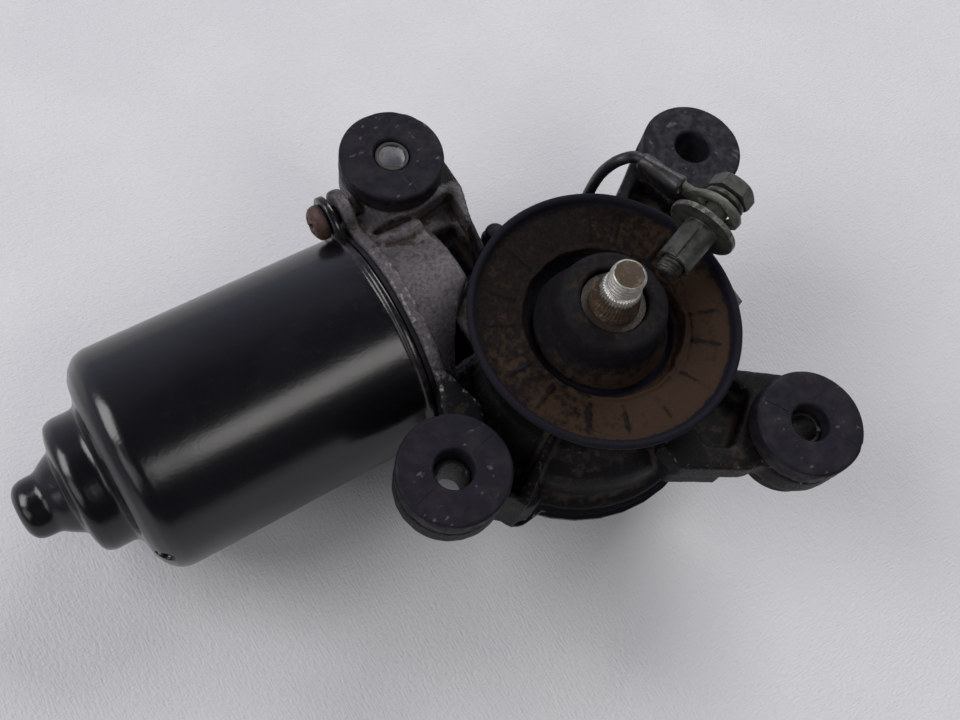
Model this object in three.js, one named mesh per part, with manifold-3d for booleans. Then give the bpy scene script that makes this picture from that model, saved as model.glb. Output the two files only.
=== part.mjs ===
// Windscreen wiper motor: a permanent-magnet motor, a worm gearbox and a threaded output shaft.
// Millimetres. +Z runs up the output shaft, and the motor lies along -X of the gearbox.
// The origin is on the output axis, at the outer face of the gearbox cover.
import * as THREE from "three";
import { mergeVertices } from "three/addons/utils/BufferGeometryUtils.js";
import Module from "manifold-3d";

const wasm = await Module();
wasm.setup();

// ---- driving dimensions ----
const GAP = 0.3; // clearance kept between neighbouring pieces
const TAU = 2 * Math.PI;

const WHEEL_TEETH = 53;
const TOOTH_PITCH = Math.PI; // module 1
const WHEEL_PITCH_R = (WHEEL_TEETH * TOOTH_PITCH) / TAU;
const WORM_PITCH_R = 5.4;
const WORM_TIP_R = 6.3;
const WORM_ROOT_R = 4.4;
const WHEEL_TIP_R = 27.1;
const WHEEL_ROOT_R = 25.2;
const WHEEL_FACE = 8;
const MOTOR_Y = WHEEL_PITCH_R + WORM_PITCH_R; // the motor axis runs along X at this y and z
const MOTOR_Z = 12;

const YOKE_R = 29;
const YOKE_WALL = 1.8;
const YOKE_MOUTH_X = -41.6;
const YOKE_SHOULDER_X = -108.3;
const YOKE_END_X = -115;
const YOKE_STEP_R = 17.3;
const YOKE_STEP_X = -124.4;
const YOKE_TIP_X = -136.6;

const FLANGE_X = [-40, -36.8]; // the casting's plate that the yoke bolts to
const FLANGE_R = 30.4;
const SCREW_ANGLE = 39; // degrees round the motor axis, from +Y towards +Z
const SCREW_CIRCLE_R = 34.2;

const COVER_R = 38.2;
const COVER_T = 1.5;
const GASKET_Z = [1.8, 2.7];
const CASE_Z = 3; // lower face of the casting
const RIM_R = 36.3; // flange round the gear chamber
const CHAMBER_R = 33.6;
const CHAMBER_BORE_R = 28.9;
const CHAMBER_TOP_Z = 23;
const CORNER_EAR = [-31.3, -22.3]; // cover screw in the corner ear
const TUNNEL_EAR = [-11.5, 42.6]; // and in the ear beside the worm
const COVER_SCREWS = [CORNER_EAR, [30.2, -17.4], [28.6, 20.2], TUNNEL_EAR];
const NECK_END_X = -19.6; // the neck reaches below the cover from here to the flange

const SHAFT_R = 6;
const SHAFT_TIP_Z = 65.7;
const THREAD_R = 4.15;
const BOSS_R = 11.5;
const BOSS_TOP_Z = 50.2;
const BUSH_R = 7.7;

const EYE_R = 13.2;
const EYE_Z = [26.3, 33.7];
const WAIST_R = 8.6;
const GROMMET_R = 13.3;
const GROMMET_FOOT_R = 11.8;
const GROMMET_Z = [20.5, 40.5];
const GROMMET_BORE_R = 4.6;
const EYES = {
  rear: [-21.2, 64.2],
  nose: [51.1, 31.1],
  near: [-49.6, -13.8],
  front: [30.7, -45.5],
};

const SEAL_R = 33.3;
const SEAL_TOP_Z = 46.3;

const ARMATURE_SHAFT_R = 4;
const CORE_X = [-92, -57];
const CORE_R = 21;
const CORE_SLOTS = 12;

const BOLT_TIP = new THREE.Vector3(14.6, 0.1, 52.3);
const BOLT_AXIS = new THREE.Vector3(0.9222, 0.3282, 0.2045).normalize();
const BOLT_R = 2.95;
const BOLT_LENGTH = 25;
const COLLAR_R = 4.25;
const COLLAR_DISC_R = 8.8;
const WIRE_R = 1.45;
const GLAND_XY = [21.4, 35]; // where the earth wire leaves the casting
const CAP_XY = [-3.6, 38.9]; // breather

// ---- colours ----
function metal(color, roughness, metalness = 1) {
  return new THREE.MeshStandardMaterial({ color, roughness, metalness, flatShading: true });
}
function plain(color, roughness) {
  return metal(color, roughness, 0);
}
const ENAMEL = plain(0x141417, 0.35);
const CASTING = metal(0x77736c, 0.6);
const RUBBER = plain(0x2c2b30, 0.8);
const DUSTY_RUBBER = plain(0x4a3a2e, 0.9);
const STEEL = metal(0xa8a59e, 0.35);
const ZINC = metal(0x7d8079, 0.5);
const RUSTY = metal(0x6b4232, 0.8);
const BRONZE = metal(0xa5773c, 0.5);
const COPPER = metal(0xb5653a, 0.4);
const FERRITE = plain(0x2f2f33, 0.7);
const NYLON = plain(0xe6e0cf, 0.55);
const PHENOLIC = plain(0x5c3a24, 0.6);
const BLACK_PLASTIC = plain(0x18181a, 0.5);
const CARBON = plain(0x1d1d1f, 0.6);

// ---- solids ----
// A closed geometry as a manifold solid, with its faces turned out.
function solid(shape) {
  if (!shape.isBufferGeometry) return shape;
  const bare = new THREE.BufferGeometry();
  bare.setAttribute("position", shape.getAttribute("position"));
  bare.setIndex(shape.index);
  const merged = mergeVertices(bare, 1e-4);
  const triVerts = new Uint32Array(merged.index.array);
  const vertProperties = merged.attributes.position.array;
  const made = new wasm.Manifold(new wasm.Mesh({ numProp: 3, vertProperties, triVerts }));
  if (made.volume() > 0) return made;
  for (let i = 0; i < triVerts.length; i += 3) {
    [triVerts[i], triVerts[i + 1]] = [triVerts[i + 1], triVerts[i]];
  }
  return new wasm.Manifold(new wasm.Mesh({ numProp: 3, vertProperties, triVerts }));
}

function join(...shapes) {
  return shapes.map(solid).reduce((sum, s) => sum.add(s));
}

function cut(shape, ...tools) {
  return tools.map(solid).reduce((rest, s) => rest.subtract(s), solid(shape));
}

function common(a, b) {
  return solid(a).intersect(solid(b));
}

function geometryOf(shape) {
  const mesh = solid(shape).getMesh();
  const geometry = new THREE.BufferGeometry();
  geometry.setAttribute("position", new THREE.BufferAttribute(mesh.vertProperties, 3));
  geometry.setIndex(new THREE.BufferAttribute(mesh.triVerts, 1));
  geometry.computeVertexNormals();
  return geometry;
}

// A cylinder or cone about Z.
function rod(r, from, to, sides = 32, rTo = r) {
  const g = new THREE.CylinderGeometry(rTo, r, to - from, sides);
  return g.rotateX(Math.PI / 2).translate(0, 0, (from + to) / 2);
}

// A closed outline of [radius, height] pairs turned about Z; both ends are taken to the axis if open.
function turned(profile, sides = 48, closed = false) {
  const points = profile.map(([r, h]) => new THREE.Vector2(r, h));
  if (closed) points.push(points[0].clone());
  return new THREE.LatheGeometry(points, sides).rotateX(Math.PI / 2);
}

function tube(rIn, rOut, from, to, sides = 32) {
  return turned([[rIn, from], [rOut, from], [rOut, to], [rIn, to]], sides, true);
}

function block([x0, x1], [y0, y1], [z0, z1]) {
  const g = new THREE.BoxGeometry(x1 - x0, y1 - y0, z1 - z0);
  return g.translate((x0 + x1) / 2, (y0 + y1) / 2, (z0 + z1) / 2);
}

function prism(shape, from, to, curveSegments = 5) {
  const options = { depth: to - from, bevelEnabled: false, curveSegments };
  return new THREE.ExtrudeGeometry(shape, options).translate(0, 0, from);
}

function outline(points) {
  return new THREE.Shape(points.map(([x, y]) => new THREE.Vector2(x, y)));
}

// The outline round two discs and the straight edges that touch both.
function linkOutline([x1, y1], r1, [x2, y2], r2) {
  const along = Math.atan2(y2 - y1, x2 - x1);
  const lean = Math.acos((r1 - r2) / Math.hypot(x2 - x1, y2 - y1));
  const shape = new THREE.Shape();
  shape.absarc(x1, y1, r1, along + lean, along - lean + TAU, false);
  shape.absarc(x2, y2, r2, along - lean, along + lean, false);
  return shape;
}

// Part of a ring, between two angles in degrees about Z.
function sector(rIn, rOut, fromDeg, toDeg, from, to, steps = 7) {
  const a = THREE.MathUtils.degToRad(fromDeg);
  const b = THREE.MathUtils.degToRad(toDeg);
  const shape = new THREE.Shape();
  shape.absarc(0, 0, rOut, a, b, false);
  shape.absarc(0, 0, rIn, b, a, true);
  return prism(shape, from, to, steps);
}

function polar(r, degrees) {
  const a = THREE.MathUtils.degToRad(degrees);
  return [r * Math.cos(a), r * Math.sin(a)];
}

function count(n, make) {
  return Array.from({ length: n }, (_, i) => make(i));
}

// Moves geometry built about Z so that its Z runs along the motor axis; local X then points down.
function onMotor(geometry) {
  return geometry.rotateY(Math.PI / 2).translate(0, MOTOR_Y, MOTOR_Z);
}

// A point at radius r and an angle from +Y towards +Z round the motor axis, as [y, z].
function roundMotor(r, degrees) {
  const [y, z] = polar(r, degrees);
  return [MOTOR_Y + y, MOTOR_Z + z];
}

// Geometry about Z moved onto an X-axis line through (y, z).
function alongX(geometry, [y, z]) {
  return geometry.rotateY(Math.PI / 2).translate(0, y, z);
}

const wiperMotor = new THREE.Group();
function add(name, shape, material, parent = wiperMotor) {
  const mesh = new THREE.Mesh(geometryOf(shape), material);
  mesh.name = name;
  parent.add(mesh);
  return mesh;
}

// ---- gear housing: one aluminium casting ----
function chamberBody() {
  return turned([
    [0, CASE_Z], [RIM_R, CASE_Z], [RIM_R, 5.6], [CHAMBER_R + 0.9, 6.6], [CHAMBER_R, 8],
    [CHAMBER_R, 16], [32.6, 18.8], [30.4, 21], [27, CHAMBER_TOP_Z], [0, CHAMBER_TOP_Z],
  ], 40);
}

function shaftBoss() {
  return turned([
    [0, 20], [19, 20], [15.5, 24.5], [13, 27.5], [BOSS_R, 31], [BOSS_R, 37.5], [9.4, 38.2],
    [9.4, BOSS_TOP_Z], [0, BOSS_TOP_Z],
  ], 24);
}

function neck() {
  const bell = onMotor(rod(26.6, FLANGE_X[0], -20, 36, 23));
  const plate = onMotor(rod(FLANGE_R, FLANGE_X[0], FLANGE_X[1], 36));
  const ears = [SCREW_ANGLE, SCREW_ANGLE + 180].map((a) =>
    alongX(rod(6.1, FLANGE_X[0], FLANGE_X[1], 16), roundMotor(SCREW_CIRCLE_R, a)));
  const web = alongX(rod(5.4, FLANGE_X[0], -31, 14), roundMotor(SCREW_CIRCLE_R - 3, SCREW_ANGLE + 180));
  return join(bell, plate, ...ears, web);
}

function wormTunnel() {
  const barrel = onMotor(rod(12, -26, 26, 24));
  const nose = onMotor(rod(12, 26, 31, 24, 8.4));
  const collar = onMotor(rod(14, -22, -17, 24));
  return join(barrel, nose, collar);
}

function rearLeg() {
  const [x, y] = EYES.rear;
  const shape = outline([[FLANGE_X[0], 34], [-11.3, 33], [-10, 42.5], [-7.4, 51],
    [x + 13.8, y - 1.5], [x, y], [-34.6, y - 2], [-38, 56.5], [FLANGE_X[0], 54]]);
  const body = join(prism(shape, 21, EYE_Z[1]), rod(EYE_R, EYE_Z[0], EYE_Z[1], 22).translate(x, y, 0));
  const pocket = outline([[-21.6, 34], [-13.8, 30], [-11.2, 41], [-10.6, 52.2], [-16, 51.6], [-22, 50]]);
  const deepEnd = outline([[-21.6, 34], [-13.8, 30], [-11.8, 38], [-12.2, 46], [-21.6, 46]]);
  const hollow = outline([[-34.6, 49.2], [-21, 47.4], [-21, 50.2], [-28.5, 51.4], [-34.3, 50.6]]);
  const scoops = [prism(pocket, 27.4, 60), prism(deepEnd, 22.6, 60), prism(hollow, 31.4, 60)];
  const ledge = alongX(rod(2, -35, -22.4, 10), [46.8, 33]);
  const undercut = rod(EYE_R + 3, 10, EYE_Z[0], 22).translate(x, y, 0);
  return join(cut(body, ...scoops, undercut), ledge);
}

function noseLeg() {
  const eye = EYES.nose;
  const arm = prism(linkOutline([22, 13], 10.5, eye, EYE_R), 19, EYE_Z[1], 8);
  const hollow = outline([[26, 23], [31.8, 29.6], [36.2, 31.9], [38.6, 28.7], [39.6, 23],
    [41.4, 19], [30, 10]]);
  const scoop = prism(hollow, 27.4, 60);
  const eyeSeat = rod(EYE_R, EYE_Z[0], EYE_Z[1], 22).translate(...eye, 0);
  const undercut = rod(EYE_R + 3, 10, EYE_Z[0], 22).translate(...eye, 0);
  return join(cut(arm, scoop, undercut), eyeSeat);
}

function frontLeg() {
  const [x, y] = EYES.front;
  const shape = outline([[-2, -30], [-0.6, -38.6], [13.6, -47], [x, y - 4], [x + 13, y + 4.5], [36.4, -31.6],
    [26.2, -24.4], [20, -20]]);
  const plate = join(prism(shape, 26.3, EYE_Z[1]), rod(EYE_R, EYE_Z[0], EYE_Z[1], 22).translate(x, y, 0));
  const webShape = outline([[1, -28], [1, -37.4], [12.6, -44.2], [17, -36], [30, -31],
    [27.5, -23], [20, -20]]);
  const web = prism(webShape, 15, 27);
  const hollow = outline([[8, -26], [8, -37], [13.4, -40.5], [19.5, -36.5], [25.5, -31.5], [24, -26.4]]);
  const scoop = prism(hollow, 27.5, 60);
  const undercut = rod(EYE_R + 3, 10, EYE_Z[0], 22).translate(x, y, 0);
  return cut(join(plate, cut(web, undercut)), scoop);
}

function nearLeg() {
  const [x, y] = EYES.near;
  const shape = outline([[-39.9, 9], [-36.8, 8.6], [-34.2, -1.8], [-36.6, -8], [-38, -22], [x, y],
    [-44, -1.4]]);
  const eyeSeat = rod(EYE_R, EYE_Z[0], EYE_Z[1], 22).translate(x, y, 0);
  const plate = join(prism(shape, EYE_Z[0], EYE_Z[1]), eyeSeat);
  const wall = prism(outline([[-39.9, 9], [-36.9, 9], [-36.9, -24.5], [-39.9, -22]]), 4, 27);
  const rib = prism(outline([[-17, -12.5], [-19, -15.4], [-35.4, -27], [-37, -24.2]]), CASE_Z, 26);
  const slope = block([-60, 60], [-60, 60], [0, 30]).rotateY(-0.42).translate(-26, 0, 33.5);
  return join(plate, wall, cut(rib, slope));
}

function coverEars() {
  return COVER_SCREWS.map(([x, y]) => prism(linkOutline([x, y], 4.4, [x * 0.75, y * 0.75], 7), CASE_Z, 6));
}

function housing() {
  const screwBosses = COVER_SCREWS.map(([x, y]) => rod(4.4, CASE_Z, 17, 12).translate(x, y, 0));
  const connectorPad = block([26, 34.6], [-7, 11], [5, 17.6]);
  const wireBoss = rod(5.2, 15, 24.2, 14).translate(...GLAND_XY, 0);
  const capBoss = rod(3.4, 15, 24.2, 14).translate(...CAP_XY, 0);
  const innerWeb = block([-34, -24], [12, 52], [6, 26]);
  const belowCase = block([NECK_END_X, 60], [-60, 60], [-20, CASE_Z]);
  const bosses = [...screwBosses, connectorPad, wireBoss, capBoss];
  const lower = join(chamberBody(), wormTunnel(), ...coverEars(), ...bosses);
  const bell = join(neck(), innerWeb);
  // Everything above the chamber is cleared round the boss, so that the splash seal has room.
  const sealRoom = tube(4, 34.4, CHAMBER_TOP_Z, 60, 40);
  const shell = join(cut(join(lower, bell), sealRoom), shaftBoss(), ...radialRibs());
  const legs = cut(join(rearLeg(), noseLeg(), frontLeg()), tube(4, 31, CHAMBER_TOP_Z, 60, 32));
  const nearOnly = cut(nearLeg(), rod(14, 22, 60, 32));
  return cut(hollow(join(shell, legs, nearOnly)), belowCase);
}

function radialRibs() {
  const ribs = [158, 250, 20].map((a) => {
    const rib = block([9, 26], [-1.6, 1.6], [20, 28]);
    return rib.rotateZ(THREE.MathUtils.degToRad(a));
  });
  return ribs;
}

// The space a grommet takes up, with the usual clearance.
function grommetRoom() {
  const foot = GROMMET_FOOT_R + GAP;
  const head = GROMMET_R + GAP;
  return turned([
    [0, 10], [foot, 10], [foot, EYE_Z[0]], [WAIST_R + GAP, EYE_Z[0]], [WAIST_R + GAP, EYE_Z[1]],
    [head, EYE_Z[1]], [head, 60], [0, 60],
  ], 20);
}

function hollow(body) {
  const motorBores = [
    onMotor(rod(23.6, -45, -25, 28, 21.5)), // room for the brushes and commutator
    onMotor(rod(6.9, -26, -18, 18)), // front bush
    onMotor(rod(8.2, -19.5, 17, 20)), // worm
    onMotor(rod(3.8, 16, 24, 16)), // end journal
    onMotor(rod(4.2, 23, 34, 16)), // thrust screw
  ];
  const chamber = rod(CHAMBER_BORE_R, CASE_Z - 1, 19.4, 36);
  const shaftBore = rod(BUSH_R + GAP, 18, 60, 24);
  const eyeHoles = Object.values(EYES).map(([x, y]) => grommetRoom().translate(x, y, 0));
  const screwHoles = COVER_SCREWS.map(([x, y]) => rod(2.2, 0, 13, 8).translate(x, y, 0));
  const yokeScrewHoles = [SCREW_ANGLE, SCREW_ANGLE + 180].map((a) =>
    alongX(rod(2.6, -45, -32.5, 10), roundMotor(SCREW_CIRCLE_R, a)));
  const yokeRoom = onMotor(rod(YOKE_R + 1.2, -70, FLANGE_X[0], 28));
  const wireHole = rod(3.1, 15, 30, 12).translate(...GLAND_XY, 0);
  const capHole = rod(2, 12, 40, 12).translate(...CAP_XY, 0);
  return cut(body, ...motorBores, chamber, shaftBore, ...eyeHoles, ...screwHoles, ...yokeScrewHoles,
    yokeRoom, wireHole, capHole);
}

add("gear_housing", housing(), CASTING);

// ---- gearbox cover ----
const HEAD_R = 3.4; // cover screw head
function coverSheet(inset, thickness) {
  const disc = rod(COVER_R - inset, 0, thickness, 36);
  const cornerEar = prism(linkOutline(CORNER_EAR, 5 - inset, [-18, -14], 12), 0, thickness);
  const tunnelEar = prism(linkOutline(TUNNEL_EAR, 5 - inset, [-8, 28], 9), 0, thickness);
  return join(disc, cornerEar, tunnelEar);
}

// The neck, flange and ears hang below the cover, which is cut back round them.
function neckRoom() {
  const slope = (26.6 - 23) / (-20 - FLANGE_X[0]);
  const end = NECK_END_X + 2 * GAP;
  const bell = onMotor(rod(27.3, FLANGE_X[0], end, 24, 27.3 - slope * (end - FLANGE_X[0])));
  const flange = onMotor(rod(FLANGE_R + 0.6, -50, FLANGE_X[1] + GAP, 28));
  const [y, z] = roundMotor(SCREW_CIRCLE_R, SCREW_ANGLE + 180);
  return join(bell, flange, alongX(rod(6.7, -50, FLANGE_X[1] + GAP, 12), [y, z]));
}

function gearCover() {
  const recess = rod(30, 1, 3, 20);
  const sink = [[0, -1], [HEAD_R + 0.4, -1], [HEAD_R + 0.4, 0.3], [2.3, 1.8], [2.3, 3], [0, 3]];
  const holes = COVER_SCREWS.map(([x, y]) => turned(sink, 10).translate(x, y, 0));
  return cut(coverSheet(0, COVER_T), recess, ...holes, neckRoom());
}

function coverGasket() {
  const holes = COVER_SCREWS.map(([x, y]) => rod(2.4, -1, 5, 10).translate(x, y, 0));
  const sheet = cut(coverSheet(1, GASKET_Z[1] - GASKET_Z[0]), rod(29.5, -1, 5, 28), ...holes);
  return cut(geometryOf(sheet).translate(0, 0, GASKET_Z[0]), neckRoom());
}

// Countersunk, so that nothing stands proud of the cover's face.
function coverScrew() {
  const blank = turned([[0, 0.1], [HEAD_R, 0.1], [HEAD_R, 0.3], [1.85, 1.85], [1.85, 12.4], [0, 12.4]], 10);
  const across = block([-0.5, 0.5], [-2.4, 2.4], [-1, 0.9]);
  return cut(blank, join(across, block([-2.4, 2.4], [-0.5, 0.5], [-1, 0.9])));
}

add("gear_cover", gearCover(), ENAMEL);
add("cover_gasket", coverGasket(), RUBBER);
COVER_SCREWS.forEach(([x, y], i) => {
  add(`cover_screw_${i + 1}`, coverScrew(), ZINC).position.set(x, y, 0);
});

// ---- motor yoke: a deep-drawn steel can ----
const DRAIN_TURN = 0.945 * Math.PI; // the drain slot's place round the shoulder, from +Y

function yokeOuter() {
  const tip = YOKE_TIP_X;
  return turned([
    [0, YOKE_MOUTH_X], [YOKE_R + 0.9, YOKE_MOUTH_X], [YOKE_R + 0.9, -43], [YOKE_R, -43.8],
    [YOKE_R, YOKE_SHOULDER_X], [28.2, -110.6], [26.2, -112.8], [23.4, -114.3], [19.4, YOKE_END_X],
    [17.7, -115.8], [YOKE_STEP_R, -117], [YOKE_STEP_R, -121.6], [16.4, -123.6], [14.4, YOKE_STEP_X],
    [10.8, -125.2], [9.2, -128], [7.6, -130.2], [7.5, -133.6], [6.8, -135.4], [5, tip], [0, tip],
  ], 36);
}

function yokeInner() {
  const r = YOKE_R - YOKE_WALL;
  return turned([
    [0, 0], [r, 0], [r, YOKE_SHOULDER_X + 0.6], [25.2, -111.2], [22.4, -112.8], [15.6, -113.4],
    [15.4, -121.6], [13.8, -122.8], [7.3, -123.2], [7.3, -129], [5.6, -129.8], [5.6, -134.6], [0, -135.2],
  ], 24);
}

function yoke() {
  const lugs = [SCREW_ANGLE, SCREW_ANGLE + 180].map((a) => {
    const [y, z] = roundMotor(SCREW_CIRCLE_R, a);
    const [yIn, zIn] = roundMotor(SCREW_CIRCLE_R - 7, a);
    const shape = linkOutline([-z, y], 5.9, [-zIn, yIn], 9);
    return prism(shape, YOKE_MOUTH_X - 1.7, YOKE_MOUTH_X).rotateY(Math.PI / 2);
  });
  const holes = [SCREW_ANGLE, SCREW_ANGLE + 180].map((a) =>
    alongX(rod(2.8, -60, -30, 16), roundMotor(SCREW_CIRCLE_R, a)));
  const drain = block([-113.7, -110.5], [21, 32], [-2, 2]).rotateX(DRAIN_TURN);
  drain.translate(0, MOTOR_Y, MOTOR_Z);
  return cut(join(onMotor(yokeOuter()), ...lugs), onMotor(yokeInner()), ...holes, drain);
}

function yokeScrew() {
  const x = YOKE_MOUTH_X - 1.7 - GAP;
  const head = turned([[0, x], [4.5, x], [4.5, x - 1.2], [3.8, x - 2.6], [2.2, x - 3.5], [0, x - 3.7]], 18);
  const cross = join(
    block([-0.6, 0.6], [-2.4, 2.4], [x - 5, x - 2.2]), block([-2.4, 2.4], [-0.6, 0.6], [x - 5, x - 2.2]));
  return cut(join(head, rod(2.3, x - 0.5, -35.2, 12)), cross);
}

add("motor_yoke", yoke(), ENAMEL);
add("yoke_seal", onMotor(tube(27.3, YOKE_R + 0.6, YOKE_MOUTH_X + GAP, FLANGE_X[0] - GAP, 40)), RUBBER);
["upper", "lower"].forEach((name, i) => {
  const place = roundMotor(SCREW_CIRCLE_R, SCREW_ANGLE + 180 * i);
  add(`yoke_screw_${name}`, alongX(geometryOf(yokeScrew()), place), RUSTY);
});

// ---- rubber splash seal and boot on the shaft boss ----
function splashSeal() {
  return turned([
    [BOSS_R + GAP, 31.4], [13.4, 31], [16, 31.8], [20.4, 35], [30.8, 41.2], [SEAL_R, 44.4], [SEAL_R, 45.6],
    [32.3, SEAL_TOP_Z], [31.4, 45.6], [30.9, 43.6], [20.8, 41.6], [19.6, 42.6], [18.5, 39.6], [17.2, 37.5],
    [BOSS_R + GAP, 37],
  ], 36, true);
}

function shaftBoot() {
  return turned([
    [9.7, 38.5], [16.2, 38.3], [16.7, 39.3], [15.9, 41.6], [14.3, 46], [13.3, 50.6], [12.7, 52.6],
    [11.7, 53.3], [8.6, 53.3], [7.9, 52.7], [7.9, 50.7], [9.7, 50.6],
  ], 28, true);
}

add("splash_seal", splashSeal(), DUSTY_RUBBER);
add("shaft_boot", shaftBoot(), DUSTY_RUBBER);
add("upper_bush", tube(SHAFT_R + GAP, BUSH_R, 38, BOSS_TOP_Z, 24), BRONZE);
add("lower_bush", tube(SHAFT_R + GAP, BUSH_R, 20, 32, 24), BRONZE);

// ---- mounting grommets and their steel sleeves ----
function grommet() {
  const [low, high] = GROMMET_Z;
  const [eyeLow, eyeHigh] = EYE_Z;
  return turned([
    [GROMMET_BORE_R, low], [GROMMET_FOOT_R - 0.8, low], [GROMMET_FOOT_R, low + 0.8],
    [GROMMET_FOOT_R, eyeLow - GAP], [WAIST_R, eyeLow - GAP],
    [WAIST_R, eyeHigh + GAP], [GROMMET_R - 0.6, eyeHigh + GAP], [GROMMET_R, eyeHigh + GAP + 0.6],
    [GROMMET_R, high - 0.9], [GROMMET_R - 0.9, high],
    [GROMMET_BORE_R + 0.4, high], [GROMMET_BORE_R, high - 0.4],
  ], 22, true);
}

Object.entries(EYES).forEach(([name, [x, y]]) => {
  add(`grommet_${name}`, grommet(), RUBBER).position.set(x, y, 0);
});
const SLEEVE_TOP_Z = { rear: 39.6, near: 34.4, front: 36 };
Object.entries(SLEEVE_TOP_Z).forEach(([name, top]) => {
  const sleeve = tube(3.3, GROMMET_BORE_R - GAP, GROMMET_Z[0] + 0.4, top, 18);
  add(`grommet_sleeve_${name}`, sleeve, ZINC).position.set(...EYES[name], 0);
});

// ---- output shaft and worm wheel ----
const outputGroup = new THREE.Group();
wiperMotor.add(outputGroup);

function outputShaft() {
  return turned([
    [0, 5.4], [SHAFT_R - 0.8, 5.4], [SHAFT_R, 6.2], [SHAFT_R, 50.7], [5.5, 50.8], [5.5, 52], [SHAFT_R, 52.1],
    [SHAFT_R, 53], [4.5, 59.9], [3.6, 60.1], [3.6, 60.8], [THREAD_R, 61.2], [THREAD_R, SHAFT_TIP_Z - 0.7],
    [THREAD_R - 0.7, SHAFT_TIP_Z], [0, SHAFT_TIP_Z],
  ], 24);
}

// A gear outline with a gap centred on +Y; rTip to rRoot, widths given along the pitch circle.
function toothOutline() {
  const pitchDeg = 360 / WHEEL_TEETH;
  const halfTip = THREE.MathUtils.radToDeg(0.45 / WHEEL_TIP_R);
  const halfRoot = THREE.MathUtils.radToDeg(0.85 / WHEEL_ROOT_R);
  const points = count(WHEEL_TEETH, (i) => {
    const a = 90 + (i + 0.5) * pitchDeg;
    return [polar(WHEEL_ROOT_R, a - halfRoot), polar(WHEEL_TIP_R, a - halfTip),
      polar(WHEEL_TIP_R, a + halfTip), polar(WHEEL_ROOT_R, a + halfRoot)];
  });
  return outline(points.flat());
}

// Turns each point of a geometry about Z in step with its height, to lean the teeth along the thread.
function leaned(geometry) {
  const place = geometry.getAttribute("position");
  const lean = (0.5 * TOOTH_PITCH) / (Math.PI * WORM_PITCH_R * WHEEL_PITCH_R);
  const point = new THREE.Vector3();
  for (let i = 0; i < place.count; i += 1) {
    point.fromBufferAttribute(place, i);
    point.applyAxisAngle(new THREE.Vector3(0, 0, 1), lean * (point.z - MOTOR_Z));
    place.setXYZ(i, point.x, point.y, point.z);
  }
  return geometry;
}

function wormWheel() {
  const low = MOTOR_Z - WHEEL_FACE / 2;
  const high = MOTOR_Z + WHEEL_FACE / 2;
  const rim = leaned(prism(toothOutline(), low, high));
  const hub = rod(11, low, 18, 24);
  const dish = tube(11, 22, high - 3, high + 1, 24);
  return cut(join(cut(rim, dish), hub), rod(SHAFT_R + GAP, 0, 30, 24));
}

// The copper disc under the wheel; its notch tells the switch where the wipers park.
function parkDisc() {
  const notch = sector(15, 23, 60, 100, 6, 9, 6);
  return cut(tube(8, 21, 6.9, 7.7, 28), notch);
}

add("output_shaft", outputShaft(), STEEL, outputGroup);
add("worm_wheel", wormWheel(), NYLON, outputGroup);
add("park_disc", parkDisc(), COPPER, outputGroup);
add("retaining_ring", tube(5.8, 7.7, 50.95, 51.85, 20), STEEL, outputGroup);

// ---- armature ----
const armatureGroup = new THREE.Group();
wiperMotor.add(armatureGroup);

// A right-handed thread round X, with one turn centred at x = 0 on the wheel's side.
function wormThread() {
  const perTurn = 8;
  const reach = 13;
  const steps = Math.round((2 * reach * perTurn) / TOOTH_PITCH);
  const foot = WORM_ROOT_R - 0.4;
  const section = [[-0.95, foot], [-0.45, WORM_TIP_R], [0.45, WORM_TIP_R], [0.95, foot]];
  const points = [];
  for (let i = 0; i <= steps; i += 1) {
    const x = -reach + (2 * reach * i) / steps;
    const turn = Math.PI + (TAU * x) / TOOTH_PITCH;
    section.forEach(([dx, r]) => points.push(x + dx, r * Math.cos(turn), r * Math.sin(turn)));
  }
  const faces = [];
  for (let i = 0; i < steps; i += 1) {
    for (let j = 0; j < 4; j += 1) {
      const a = 4 * i + j;
      const b = 4 * i + ((j + 1) % 4);
      faces.push(a, b, b + 4, a, b + 4, a + 4);
    }
  }
  const last = 4 * steps;
  faces.push(0, 2, 1, 0, 3, 2, last, last + 1, last + 2, last, last + 2, last + 3);
  const geometry = new THREE.BufferGeometry();
  geometry.setAttribute("position", new THREE.Float32BufferAttribute(points, 3));
  geometry.setIndex(faces);
  return geometry.translate(0, MOTOR_Y, MOTOR_Z);
}

function armatureShaft() {
  const bar = onMotor(rod(ARMATURE_SHAFT_R, -129.6, -14, 16));
  const worm = onMotor(rod(WORM_ROOT_R, -14.5, 14.5, 16));
  const journal = onMotor(rod(3.5, 14, 24, 16));
  return join(bar, worm, journal, wormThread());
}

function laminationCore() {
  const slotPitch = 360 / CORE_SLOTS;
  const points = count(CORE_SLOTS, (i) => {
    const c = i * slotPitch;
    return [polar(CORE_R, c - 3), polar(19.4, c - 3.2), polar(18.7, c - 10), polar(10.5, c - 10),
      polar(10.5, c + 10), polar(18.7, c + 10), polar(19.4, c + 3.2), polar(CORE_R, c + 3),
      polar(CORE_R, c + 11), polar(CORE_R, c + 19)];
  });
  const stack = prism(outline(points.flat()), ...CORE_X);
  return onMotor(geometryOf(cut(stack, rod(ARMATURE_SHAFT_R + GAP, -95, -50, 24))));
}

function armatureWindings() {
  const bars = count(CORE_SLOTS, (i) => {
    const c = (i * 360) / CORE_SLOTS;
    return sector(11, 18.2, c - 8, c + 8, -96, -54, 1);
  });
  const frontEnd = [[9, -56.7], [18.3, -56.7], [18.3, -53.4], [16.4, -51.7], [11, -51.5], [9, -53]];
  const rearEnd = [[9, -98], [11, -99.8], [16.4, -99.6], [18.3, -97.4], [18.3, -92.3], [9, -92.3]];
  const front = turned(frontEnd, 18, true);
  const rear = turned(rearEnd, 18, true);
  return onMotor(geometryOf(join(front, rear, ...bars)));
}

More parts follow.
